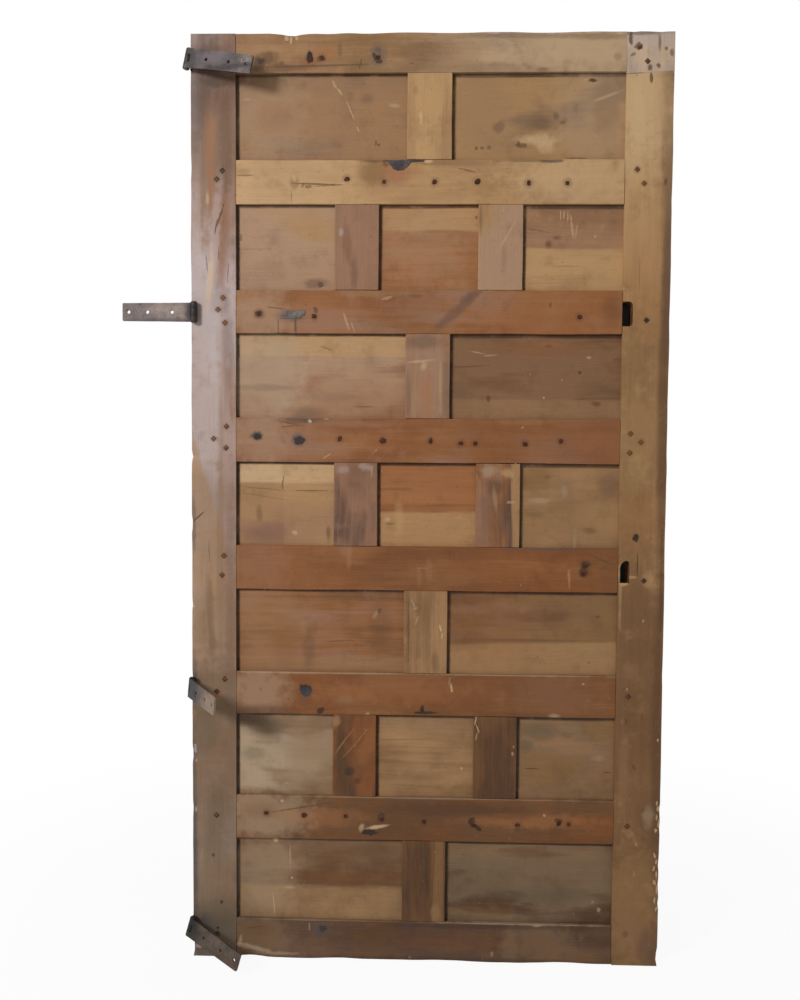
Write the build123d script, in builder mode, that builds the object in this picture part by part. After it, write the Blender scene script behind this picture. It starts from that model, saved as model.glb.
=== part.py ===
"""An old panelled door leaf: two stiles, eight rails, seven rows of panels and four strap hinges.

Millimetres. The origin is the centre of the leaf's bottom edge. +Z is up, +X runs from the
hinge stile to the lock stile, and -Y points out of the plain face, which carries the hinges.
"""

from build123d import *
from math import cos, radians, sin
import os

os.makedirs("parts", exist_ok=True)

# Leaf
leaf_width = 1020.0
leaf_thickness = 45.0
hinge_stile_width = 97.0
lock_stile_width = 100.0
# Rail widths from the top rail down to the bottom rail, sawn by hand and all a little different
rail_widths = [83.0, 94.0, 93.0, 95.5, 96.0, 93.5, 97.0, 88.0]
# Muntins in each row of panels, from the top row down
muntins_in_row = [1, 2, 1, 2, 1, 2, 1]
muntin_width = 95.0
panel_opening_height = 180.0

# Joints between the boards
tenon_thickness = 15.0
tenon_length = 70.0
end_haunch = 24.0
stub_tenon_length = 22.0
groove_depth = 10.0
groove_width = 10.0
panel_recess = 10.0

# Panels, flat on the plain face and raised and fielded on the other
panel_play = 1.0
panel_bevel = 32.0
bevel_lip = 2.0
field_rise = 12.0
field_edge = 1.5

# Pegs through the tenons, and the cut ends of the nails that come through the rails
peg_size = 9.0
peg_length = 40.0
nail_size = 7.0
nail_depth = 30.0

# Two pockets in the lock stile, at the ends of the third and the fifth rail
pocket_depth = 36.0
upper_pocket_width = 22.0
upper_pocket_height = 52.0
upper_pocket_rise = -3.0
lower_pocket_inset = 5.0
lower_pocket_width = 20.0
lower_pocket_height = 48.0
lower_pocket_rise = -2.0
pocket_corner = 8.0
# The lower pocket's head is two arcs that meet at its crown: the crown's distance from the right
# side, then a middle and an end point of each arc, as distance from its side and drop below the crown
crown_inset = 8.0
right_arc = [(2.8, 1.68), (0.0, 7.0)]
left_arc = [(3.0, 7.0), (0.0, 19.6)]

# New wood let into the face at the top of the lock stile, on a joint that runs uphill
patch_drop = 5.0
patch_slope = 6.0

# Hinges: a strap rolled round a riveted pin, turning on the eye of a leaf let into the stile's edge
iron_thickness = 4.0
pin_radius = 3.5
eye_clearance = 0.08
eye_height = 15.0
eye_gap = 0.5
axis_stand_off = 8.5
strap_root_width = 41.0
strap_tip_width = 38.0
strap_reach = 155.0
strap_corner = 2.5
strap_hole_radius = 3.5
strap_hole_reaches = [48.0, 101.0, 141.6]
rivet_radius = 6.2
rivet_height = 2.0
slot_margin = 1.5
edge_leaf_depth = 38.0
edge_leaf_height = 42.0
edge_leaf_proud = 0.5

# Screws that hold the edge leaves
screw_radius = 2.0
screw_head_radius = 4.0
screw_length = 26.0
screw_head_height = 2.2
screw_positions = [(14.0, 12.0), (14.0, -12.0), (29.0, 0.0)]

# Each hinge: the rail beside it, counted from the top, its height above that rail's centre line,
# how far its axis stands inside the leaf's edge, the lean of the axis towards the leaf, and the
# angle to which the strap is turned, from folded over the face
hinges = {
    "hinge_1": (1, -14.5, -3.0, 12.0, 16.0),
    "hinge_2": (3, -2.5, 8.0, 0.0, 180.0),
    "hinge_3": (6, 11.25, 1.0, 5.0, 57.0),
    "hinge_4": (8, 27.0, -2.0, 15.5, 33.0),
}

# Pegs by rail, counted from the top: distance from the stile's inner edge, height above the
# rail's centre line
hinge_stile_pegs = [
    (1, 30.0, -12.0),
    (2, 29.0, 24.0),
    (2, 41.0, 6.0),
    (3, 28.0, 29.0),
    (3, 39.0, 4.0),
    (3, 24.0, -24.0),
    (4, 21.0, 28.0),
    (4, 49.0, 2.0),
    (4, 22.0, -18.0),
    (5, 27.0, 24.0),
    (5, 31.0, -18.0),
    (6, 25.0, 28.0),
    (6, 43.0, 1.0),
    (7, 44.0, 1.0),
    (8, 42.0, 8.0),
]
lock_stile_pegs = [
    (1, 44.0, -20.0),
    (2, 26.0, 25.0),
    (2, 41.0, -4.0),
    (3, 51.0, -16.0),
    (4, 22.0, 18.0),
    (4, 44.0, 0.0),
    (4, 21.0, -23.0),
    (5, 56.0, -21.0),
    (6, 27.0, 2.0),
    (7, 30.0, -7.0),
]

# Nails by rail, counted from the top: distance from the nearer stile's inner edge, or to the right
# of the leaf's centre line, and height above the rail's centre line
nails_near_hinge_stile = [
    (1, 157.0, -9.0),
    (1, 183.0, -10.0),
    (2, 237.0, 6.0),
    (3, 49.0, -4.0),
    (3, 168.0, -10.0),
    (4, 45.0, 7.0),
    (4, 137.0, -1.0),
    (4, 224.0, 3.0),
    (6, 151.0, 7.0),
    (7, 65.0, 8.0),
    (7, 149.0, 5.0),
    (7, 240.0, 4.0),
]
nails_in_the_middle = [
    (1, -112.0, -10.0),
    (2, -97.0, 0.0),
    (2, 10.0, 0.0),
    (2, 101.0, 0.0),
    (4, -96.0, 0.0),
    (4, 6.0, 0.0),
    (4, 71.0, -5.0),
    (4, 102.0, -5.0),
    (7, -93.0, -2.0),
    (7, -1.0, -5.0),
    (7, 106.0, -11.0),
]
nails_near_lock_stile = [
    (2, 201.0, -3.0),
    (2, 120.0, -3.0),
    (3, 90.0, -10.0),
    (4, 202.0, -5.0),
    (4, 126.0, 1.0),
    (5, 70.0, 9.0),
    (5, 73.0, -7.0),
    (7, 207.0, -9.0),
    (7, 118.0, -3.0),
    (7, 97.0, -5.0),
]

# Limits that follow from the sizes above
rows = len(muntins_in_row)
leaf_height = sum(rail_widths) + rows * panel_opening_height
hinge_edge = -leaf_width / 2
lock_edge = leaf_width / 2
hinge_shoulder = hinge_edge + hinge_stile_width
lock_shoulder = lock_edge - lock_stile_width
face = -leaf_thickness / 2
back = leaf_thickness / 2
tenon_front = -tenon_thickness / 2
tenon_back = tenon_thickness / 2
panel_front = face + panel_recess
groove_back = panel_front + groove_width
tongue = groove_depth - panel_play
eye_radius = pin_radius + iron_thickness
plate_offset = eye_radius - iron_thickness / 2


def rail_top(number):
    """Height of a rail's upper edge, counted from the top rail as 1."""
    return leaf_height - sum(rail_widths[: number - 1]) - (number - 1) * panel_opening_height


def rail_bottom(number):
    return rail_top(number) - rail_widths[number - 1]


def rail_middle(number):
    return (rail_top(number) + rail_bottom(number)) / 2


def tenon_limits(number):
    """Lower and upper limit of the tenons of a rail, clear of the panel grooves and the stile ends."""
    low = rail_bottom(number) + (end_haunch if number == rows + 1 else groove_depth)
    high = rail_top(number) - (end_haunch if number == 1 else groove_depth)
    return low, high


def opening_width(row):
    """Width of one panel opening in a row, counted from the top row as 1."""
    muntins = muntins_in_row[row - 1]
    return (lock_shoulder - hinge_shoulder - muntins * muntin_width) / (muntins + 1)


def opening_left(row, column):
    return hinge_shoulder + (column - 1) * (opening_width(row) + muntin_width)


def muntin_left(row, column):
    return opening_left(row, column) + opening_width(row)


def on_rail(marks, number):
    """The pegs or nails of one rail."""
    return [mark for mark in marks if mark[0] == number]


def block(x, y, z, mode=Mode.ADD):
    """A box between two limits on each axis."""
    with Locations((sum(x) / 2, sum(y) / 2, sum(z) / 2)):
        Box(abs(x[1] - x[0]), abs(y[1] - y[0]), abs(z[1] - z[0]), mode=mode)


def driven_pegs(pegs, inner_edge, outward, mode=Mode.ADD):
    """Square pegs, set on the diamond, driven in flush with the plain face."""
    middle = face + peg_length / 2
    places = [(inner_edge + outward * inset, middle, rail_middle(rail) + rise) for rail, inset, rise in pegs]
    if places:
        with Locations(*[Location(place, (0, 45, 0)) for place in places]):
            Box(peg_size, peg_length, peg_size, mode=mode)


def nail_places(number):
    """The nails of one rail, as the middles of their shanks."""
    groups = (
        (nails_near_hinge_stile, hinge_shoulder, 1),
        (nails_in_the_middle, 0, 1),
        (nails_near_lock_stile, lock_shoulder, -1),
    )
    level = rail_middle(number)
    return [
        (start + way * run, face + nail_depth / 2, level + rise)
        for nails, start, way in groups
        for rail_number, run, rise in on_rail(nails, number)
    ]


def driven_nails(places, mode=Mode.ADD):
    """Square nail shanks, cut off flush with the plain face."""
    if places:
        with Locations(*places):
            Box(nail_size, nail_depth, nail_size, mode=mode)


def upper_pocket_outline():
    """Straight along the rail's shoulder, with its two outer corners rounded."""
    left = lock_shoulder
    right = left + upper_pocket_width
    middle = rail_middle(3) + upper_pocket_rise
    low = middle - upper_pocket_height / 2
    high = middle + upper_pocket_height / 2
    with BuildLine() as outline:
        Line((left, low), (right - pocket_corner, low))
        RadiusArc((right - pocket_corner, low), (right, low + pocket_corner), -pocket_corner)
        Line((right, low + pocket_corner), (right, high - pocket_corner))
        RadiusArc((right, high - pocket_corner), (right - pocket_corner, high), -pocket_corner)
        Line((right - pocket_corner, high), (left, high))
        Line((left, high), (left, low))
    make_face(outline.edges())


def lower_pocket_outline():
    """Flat at the foot, with a rounded head that leans towards the lock edge."""
    left = lock_shoulder + lower_pocket_inset
    right = left + lower_pocket_width
    middle = rail_middle(5) + lower_pocket_rise
    low = middle - lower_pocket_height / 2
    high = middle + lower_pocket_height / 2
    crown = (right - crown_inset, high)
    right_points = [(right - inset, high - drop) for inset, drop in right_arc]
    left_points = [(left + inset, high - drop) for inset, drop in left_arc]
    with BuildLine() as outline:
        ThreePointArc(crown, *right_points)
        Polyline(right_points[-1], (right, low), (left, low), left_points[-1])
        ThreePointArc(crown, *left_points)
    make_face(outline.edges())


def pockets(mode):
    """Both pockets, sunk from the plain face."""
    for outline in (upper_pocket_outline, lower_pocket_outline):
        with BuildSketch(Plane.XZ.offset(-face)) as profile:
            outline()
        extrude(profile.sketch, amount=-pocket_depth, mode=mode)


def hinge_plane(height, inset, lean, swing=0.0):
    """The frame of a hinge: Z along the axis of its pin, X along the strap, -Y out of the face."""
    middle = (hinge_edge + inset, face - axis_stand_off, height)
    across = cos(radians(swing))
    outward = sin(radians(swing))
    along = (across * cos(radians(lean)), -outward, -across * sin(radians(lean)))
    axis = (sin(radians(lean)), 0, cos(radians(lean)))
    return Plane(origin=middle, x_dir=along, z_dir=axis)


hinge_settings = {
    name: (rail_middle(number) + rise, inset, lean, swing)
    for name, (number, rise, inset, lean, swing) in hinges.items()
}


def finish(part, name):
    """Name a finished piece and write it."""
    part.label = name
    export_step(part, f"parts/{name}.step")


# Pegs and nails
with BuildPart() as pegs_in_hinge_stile:
    driven_pegs(hinge_stile_pegs, hinge_shoulder, -1)
finish(pegs_in_hinge_stile.part, "hinge_stile_pegs")

with BuildPart() as pegs_in_lock_stile:
    driven_pegs(lock_stile_pegs, lock_shoulder, 1)
finish(pegs_in_lock_stile.part, "lock_stile_pegs")

with BuildPart() as nails_in_rails:
    driven_nails([place for number in range(1, rows + 2) for place in nail_places(number)])
finish(nails_in_rails.part, "rail_nails")


# Stiles
def mortises(inner_edge, outward):
    """One mortise for each rail along a stile's inner edge."""
    across = (inner_edge, inner_edge + outward * tenon_length)
    for number in range(1, rows + 2):
        block(across, (tenon_front, tenon_back), tenon_limits(number), Mode.SUBTRACT)


def panel_groove(inner_edge, outward):
    """The groove for the panels, run down a stile's inner edge past every rail."""
    across = (inner_edge, inner_edge + outward * groove_depth)
    run = (rail_top(rows + 1) - groove_depth, rail_bottom(1) + groove_depth)
    block(across, (panel_front, groove_back), run, Mode.SUBTRACT)


def patch_outline():
    """The patch at the top of the lock stile, seen from the plain face."""
    left_foot = rail_bottom(1) - patch_drop
    with BuildLine() as outline:
        Polyline(
            (lock_shoulder, left_foot),
            (lock_edge, left_foot + patch_slope),
            (lock_edge, leaf_height),
            (lock_shoulder, leaf_height),
            close=True,
        )
    make_face(outline.edges())


def screw_places(height, plate_x):
    """The screws of one edge leaf, as points on its outer surface."""
    return [(plate_x, face + depth, height + rise) for depth, rise in screw_positions]


def screws(height, mode=Mode.ADD):
    """Countersunk screws, driven into the stile's edge through the edge leaf."""
    for place in screw_places(height, hinge_edge):
        with BuildSketch(Plane(origin=place, x_dir=(0, 1, 0), z_dir=(0, 0, 1))) as profile:
            with BuildLine():
                Polyline(
                    (0, 0),
                    (screw_head_radius, 0),
                    (screw_radius, -screw_head_height),
                    (screw_radius, -screw_length),
                    (0, -screw_length),
                    close=True,
                )
            make_face()
        revolve(profile.sketch, axis=Axis(place, (1, 0, 0)), mode=mode)


with BuildPart() as hinge_stile:
    block((hinge_edge, hinge_shoulder), (face, back), (0, leaf_height))
    mortises(hinge_shoulder, -1)
    panel_groove(hinge_shoulder, -1)
    driven_pegs(hinge_stile_pegs, hinge_shoulder, -1, Mode.SUBTRACT)
    for height, inset, lean, swing in hinge_settings.values():
        let_in = (hinge_edge, hinge_edge + iron_thickness)
        reach = (height - edge_leaf_height / 2, height + edge_leaf_height / 2)
        block(let_in, (face, face + edge_leaf_depth), reach, Mode.SUBTRACT)
        screws(height, Mode.SUBTRACT)
finish(hinge_stile.part, "hinge_stile")

with BuildPart() as lock_stile:
    block((lock_shoulder, lock_edge), (face, back), (0, leaf_height))
    mortises(lock_shoulder, 1)
    panel_groove(lock_shoulder, 1)
    driven_pegs(lock_stile_pegs, lock_shoulder, 1, Mode.SUBTRACT)
    pockets(Mode.SUBTRACT)
    with BuildSketch(Plane.XZ.offset(-face)):
        patch_outline()
    extrude(amount=-(tenon_front - face), mode=Mode.SUBTRACT)
finish(lock_stile.part, "lock_stile")

with BuildPart() as patch:
    with BuildSketch(Plane.XZ.offset(-face)):
        patch_outline()
    extrude(amount=-(tenon_front - face))
    panel_groove(lock_shoulder, 1)
    driven_pegs(lock_stile_pegs, lock_shoulder, 1, Mode.SUBTRACT)
finish(patch.part, "lock_stile_patch")


# Rails
def rail(number):
    """One rail with a tenon at each end, grooves for the panels and mortises for the muntins."""
    low = rail_bottom(number)
    high = rail_top(number)
    shoulders = (hinge_shoulder, lock_shoulder)
    with BuildPart() as board:
        block(shoulders, (face, back), (low, high))
        tenons = (hinge_shoulder - tenon_length, lock_shoulder + tenon_length)
        block(tenons, (tenon_front, tenon_back), tenon_limits(number))
        if number > 1:
            block(shoulders, (panel_front, groove_back), (high - groove_depth, high), Mode.SUBTRACT)
            stub_mortises(number - 1, high - stub_tenon_length, high)
        if number <= rows:
            block(shoulders, (panel_front, groove_back), (low, low + groove_depth), Mode.SUBTRACT)
            stub_mortises(number, low, low + stub_tenon_length)
        driven_pegs(on_rail(hinge_stile_pegs, number), hinge_shoulder, -1, Mode.SUBTRACT)
        driven_pegs(on_rail(lock_stile_pegs, number), lock_shoulder, 1, Mode.SUBTRACT)
        driven_nails(nail_places(number), Mode.SUBTRACT)
        if number in (3, 5):
            pockets(Mode.SUBTRACT)
    return board.part


def stub_tenon_limits(row, column):
    left = muntin_left(row, column) + groove_depth
    return left, left + muntin_width - 2 * groove_depth


def stub_mortises(row, low, high):
    """The mortises for the muntins of a row, cut from one edge of a rail."""
    for column in range(1, muntins_in_row[row - 1] + 1):
        block(stub_tenon_limits(row, column), (tenon_front, tenon_back), (low, high), Mode.SUBTRACT)


rail_names = ["top_rail"] + [f"rail_{number}" for number in range(2, rows + 1)] + ["bottom_rail"]
for number, name in enumerate(rail_names, start=1):
    finish(rail(number), name)


# Muntins
def muntin(row, column):
    """A short upright between two rails, with a stub tenon at each end and a groove down each side."""
    left = muntin_left(row, column)
    right = left + muntin_width
    low = rail_top(row + 1)
    high = rail_bottom(row)
    tenons = (low - stub_tenon_length, high + stub_tenon_length)
    with BuildPart() as board:
        block((left, right), (face, back), (low, high))
        block(stub_tenon_limits(row, column), (tenon_front, tenon_back), tenons)
        for side in ((left, left + groove_depth), (right - groove_depth, right)):
            block(side, (panel_front, groove_back), (low, high), Mode.SUBTRACT)
    return board.part


for row, muntins in enumerate(muntins_in_row, start=1):
    for column in range(1, muntins + 1):
        finish(muntin(row, column), f"muntin_{row}_{column}")


# Panels
def panel(row, column):
    """A flat board in the grooves of its four neighbours, raised and fielded at the back."""
    left = opening_left(row, column)
    right = left + opening_width(row)
    low = rail_top(row + 1)
    high = rail_bottom(row)
    middle = ((left + right) / 2, (low + high) / 2)
    with BuildPart() as board:
        block((left - tongue, right + tongue), (panel_front, groove_back), (low - tongue, high + tongue))
        with BuildSketch(Plane.XZ.offset(-groove_back)):
            with Locations(middle):
                Rectangle(right - left - 2 * bevel_lip, high - low - 2 * bevel_lip)
        with BuildSketch(Plane.XZ.offset(-(groove_back + field_rise - field_edge))) as field:
            with Locations(middle):
                Rectangle(right - left - 2 * panel_bevel, high - low - 2 * panel_bevel)
        loft()
        extrude(field.sketch, amount=-field_edge)
    return board.part


for row, muntins in enumerate(muntins_in_row, start=1):
    for column in range(1, muntins + 2):
        finish(panel(row, column), f"panel_{row}_{column}")


# Hinges
def edge_leaf(height, inset, lean):
    """A plate let into the stile's edge, with one eye that leans with the pin."""
    axis = hinge_plane(height, inset, lean)
    with BuildPart() as plate:
        depth = (face - edge_leaf_proud, face + edge_leaf_depth)
        reach = (height - edge_leaf_height / 2, height + edge_leaf_height / 2)
        block((hinge_edge, hinge_edge + iron_thickness), depth, reach)
        with BuildSketch(axis):
            Circle(eye_radius)
            with Locations((iron_thickness / 2 - inset, axis_stand_off / 2)):
                Rectangle(iron_thickness, axis_stand_off)
        extrude(amount=eye_height / 2, both=True)
        with BuildSketch(axis):
            Circle(pin_radius + eye_clearance)
        extrude(amount=eye_height, both=True, mode=Mode.SUBTRACT)
        screws(height, Mode.SUBTRACT)
    return plate.part


def strap(height, inset, lean, swing):
    """A tapered strap with three holes, rolled round its pin above and below the edge leaf's eye."""
    axis = hinge_plane(height, inset, lean, swing)
    flat = Plane(origin=axis.from_local_coords((0, -plate_offset, 0)), x_dir=axis.x_dir, z_dir=-axis.y_dir)
    with BuildPart() as iron:
        with BuildSketch(axis):
            Circle(eye_radius)
        extrude(amount=strap_root_width / 2, both=True)
        with BuildSketch(flat) as outline:
            with BuildLine():
                Polyline(
                    (0, -strap_root_width / 2),
                    (strap_reach, -strap_tip_width / 2),
                    (strap_reach, strap_tip_width / 2),
                    (0, strap_root_width / 2),
                    close=True,
                )
            make_face()
            fillet(outline.vertices().sort_by(Axis.X)[-2:], strap_corner)
            with Locations(*[(reach, 0) for reach in strap_hole_reaches]):
                Circle(strap_hole_radius, mode=Mode.SUBTRACT)
        extrude(amount=iron_thickness / 2, both=True)
        with BuildSketch(axis):
            Circle(pin_radius)
        extrude(amount=strap_root_width, both=True, mode=Mode.SUBTRACT)
        with BuildSketch(axis):
            Rectangle(2 * (eye_radius + slot_margin), 2 * (eye_radius + slot_margin))
        extrude(amount=eye_height / 2 + eye_gap, both=True, mode=Mode.SUBTRACT)
    return iron.part


def hinge_pin(height, inset, lean):
    """A round pin, riveted over at both ends of the barrel."""
    axis = hinge_plane(height, inset, lean)
    barrel = strap_root_width / 2
    with BuildPart() as rod:
        with BuildSketch(Plane(origin=axis.origin, x_dir=axis.x_dir, z_dir=axis.y_dir)):
            with BuildLine():
                Polyline(
                    (0, -barrel - rivet_height),
                    (rivet_radius - rivet_height / 2, -barrel - rivet_height),
                    (rivet_radius, -barrel - rivet_height / 2),
                    (rivet_radius, -barrel),
                    (pin_radius, -barrel),
                    (pin_radius, barrel),
                    (rivet_radius, barrel),
                    (rivet_radius, barrel + rivet_height / 2),
                    (rivet_radius - rivet_height / 2, barrel + rivet_height),
                    (0, barrel + rivet_height),
                    close=True,
                )
            make_face()
        revolve(axis=Axis(axis.origin, axis.z_dir))
    return rod.part


for name, (height, inset, lean, swing) in hinge_settings.items():
    finish(edge_leaf(height, inset, lean), f"{name}_edge_leaf")
    finish(strap(height, inset, lean, swing), f"{name}_strap")
    finish(hinge_pin(height, inset, lean), f"{name}_pin")

with BuildPart() as hinge_screws:
    for height, inset, lean, swing in hinge_settings.values():
        screws(height)
finish(hinge_screws.part, "hinge_screws")
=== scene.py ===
"""An old panelled door leaf of worn, stained boards, with four iron strap hinges.

Metres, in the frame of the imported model: +Z up, +X from the hinge stile to the lock stile, and -Y
out of the plain face. Zones and marks on a board are given in millimetres, across from the leaf's
hinge edge and up from its foot.
"""

import math

import bmesh
import bpy
from mathutils import Matrix, Vector, noise


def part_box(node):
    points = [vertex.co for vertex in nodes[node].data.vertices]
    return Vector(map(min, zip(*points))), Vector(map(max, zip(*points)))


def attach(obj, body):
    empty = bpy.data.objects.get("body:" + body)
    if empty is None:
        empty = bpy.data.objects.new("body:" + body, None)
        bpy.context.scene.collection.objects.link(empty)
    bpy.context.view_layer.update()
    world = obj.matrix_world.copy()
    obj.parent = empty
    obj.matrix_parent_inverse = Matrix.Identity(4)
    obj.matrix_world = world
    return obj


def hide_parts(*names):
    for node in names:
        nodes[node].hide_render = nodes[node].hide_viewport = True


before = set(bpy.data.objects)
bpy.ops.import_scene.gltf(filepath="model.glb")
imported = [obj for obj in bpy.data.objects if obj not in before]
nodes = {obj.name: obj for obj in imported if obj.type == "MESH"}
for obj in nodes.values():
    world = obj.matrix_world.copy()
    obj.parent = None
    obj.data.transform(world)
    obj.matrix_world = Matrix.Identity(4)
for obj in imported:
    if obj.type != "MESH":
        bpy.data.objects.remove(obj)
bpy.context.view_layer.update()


# Hinge stile
# The long upright on the left, one board two metres high. Its arrises are worn round and its face
# was planed by hand. It is brown at the top, grey mauve in the middle and olive beside a mauve band
# below.
hinge_edge = -0.510
face, back = -0.0225, 0.0225


class Socket:
    """A shader value that takes part in arithmetic: each operation adds its Math node."""

    def __init__(self, finish, socket):
        self.finish = finish
        self.socket = socket

    def combine(self, operation, *values):
        return self.finish.add("ShaderNodeMath", values, operation=operation)

    def __add__(self, other):
        return self.combine("ADD", self, other)

    def __sub__(self, other):
        return self.combine("SUBTRACT", self, other)

    def __rsub__(self, other):
        return self.combine("SUBTRACT", other, self)

    def __mul__(self, other):
        return self.combine("MULTIPLY", self, other)

    __radd__ = __add__
    __rmul__ = __mul__


class Wiring:
    """An emptied node tree and the one method that puts nodes into it."""

    def __init__(self, tree):
        self.nodes, self.links = tree.nodes, tree.links
        self.nodes.clear()

    def add(self, kind, values=(), output=0, stops=(), **settings):
        """A node: its settings first, then the values or links of its sockets."""
        node = self.nodes.new(kind)
        for setting, value in settings.items():
            setattr(node, setting, value)
        if stops:
            ramp = node.color_ramp.elements
            while len(ramp) < len(stops):
                ramp.new(1.0)
            for element, (position, colour) in zip(ramp, stops):
                element.position = position
                element.color = colour
        pairs = values.items() if isinstance(values, dict) else enumerate(values)
        for key, value in pairs:
            if isinstance(value, Socket):
                self.links.new(value.socket, node.inputs[key])
            else:
                node.inputs[key].default_value = value
        return Socket(self, node.outputs[output]) if node.outputs else None


class Finish(Wiring):
    """A material under construction, with Object coordinates ready to use."""

    def __init__(self, name):
        self.material = bpy.data.materials.new(name)
        self.material.use_nodes = True
        super().__init__(self.material.node_tree)
        self.place = self.add("ShaderNodeTexCoord", output="Object")
        split = self.add("ShaderNodeSeparateXYZ", [self.place]).socket.node
        self.x, self.y, self.z = (Socket(self, socket) for socket in split.outputs)

    def vector(self, x, y, z):
        return self.add("ShaderNodeCombineXYZ", [x, y, z])

    def noise(self, vector, scale, detail=3.0, roughness=0.5):
        values = {"Vector": vector, "Scale": scale, "Detail": detail, "Roughness": roughness}
        return self.add("ShaderNodeTexNoise", values)

    def step(self, value, low, high):
        """0 below low and 1 above high, smooth between; falls instead where low is above high."""
        ends = (0.0, 1.0) if low < high else (1.0, 0.0)
        values = [value, min(low, high), max(low, high), *ends]
        return self.add("ShaderNodeMapRange", values, interpolation_type="SMOOTHSTEP")

    def mix(self, factor, below, above, blend="MIX"):
        values = {0: factor, 6: below, 7: above}
        return self.add("ShaderNodeMix", values, output=2, data_type="RGBA", blend_type=blend)

    def spot(self, u, z, wide, high, turn=0.0, soft=0.25, strength=1.0, rim=0.0):
        """A mask of an ellipse on the face, with half sizes in millimetres and a ragged rim."""
        placing = {
            "Vector": self.place,
            "Location": (hinge_edge + u / 1000, 0.0, z / 1000),
            "Rotation": (0.0, -math.radians(turn), 0.0),
            "Scale": (wide / 1000, 100.0, high / 1000),
        }
        reach = self.add("ShaderNodeMapping", placing, vector_type="TEXTURE")
        radius = self.add("ShaderNodeVectorMath", [reach], output="Value", operation="LENGTH") + rim
        ends = [radius, 1.0 - soft, 1.0 + soft, strength, 0.0]
        return self.add("ShaderNodeMapRange", ends, interpolation_type="SMOOTHSTEP")

    def surface(self, colour, rough, height, depth, metal=0.0, shine=0.25):
        """The shader, with a Bump node for the height."""
        bump = self.add("ShaderNodeBump", {"Strength": 1.0, "Distance": depth, "Height": height})
        values = {"Base Color": colour, "Roughness": rough, "Metallic": metal, "Normal": bump,
                  "Specular IOR Level": shine}
        shader = self.add("ShaderNodeBsdfPrincipled", values)
        self.add("ShaderNodeOutputMaterial", [shader])
        return self.material


def tone(code):
    """A linear colour from its usual hexadecimal code."""
    parts = [int(code[i : i + 2], 16) / 255 for i in (0, 2, 4)]
    return (*[p / 12.92 if p < 0.04045 else ((p + 0.055) / 1.055) ** 2.4 for p in parts], 1.0)


wood_tones = {
    "cream": tone("c8a880"),
    "honey": tone("b08a5e"),
    "straw": tone("a07b53"),
    "tan": tone("926d4b"),
    "olive": tone("805f3a"),
    "copper": tone("98623a"),
    "chestnut": tone("895933"),
    "russet": tone("7a4924"),
    "brown": tone("69472a"),
    "umber": tone("51351f"),
    "plum": tone("594033"),
    "mauve": tone("8e674f"),
    "lilac": tone("aa9790"),
    "pearl": tone("b8abab"),
    "ash": tone("a58e73"),
    "clay": tone("80644a"),
    "slate": tone("4a4443"),
    "soot": tone("251a13"),
    "black": tone("0b0807"),
    "recess_shade": tone("200f08"),
    "moss": tone("574c39"),
    "bark": tone("755e46"),
    "cocoa": tone("7b593d"),
    "khaki": tone("a18064"),
}


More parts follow.
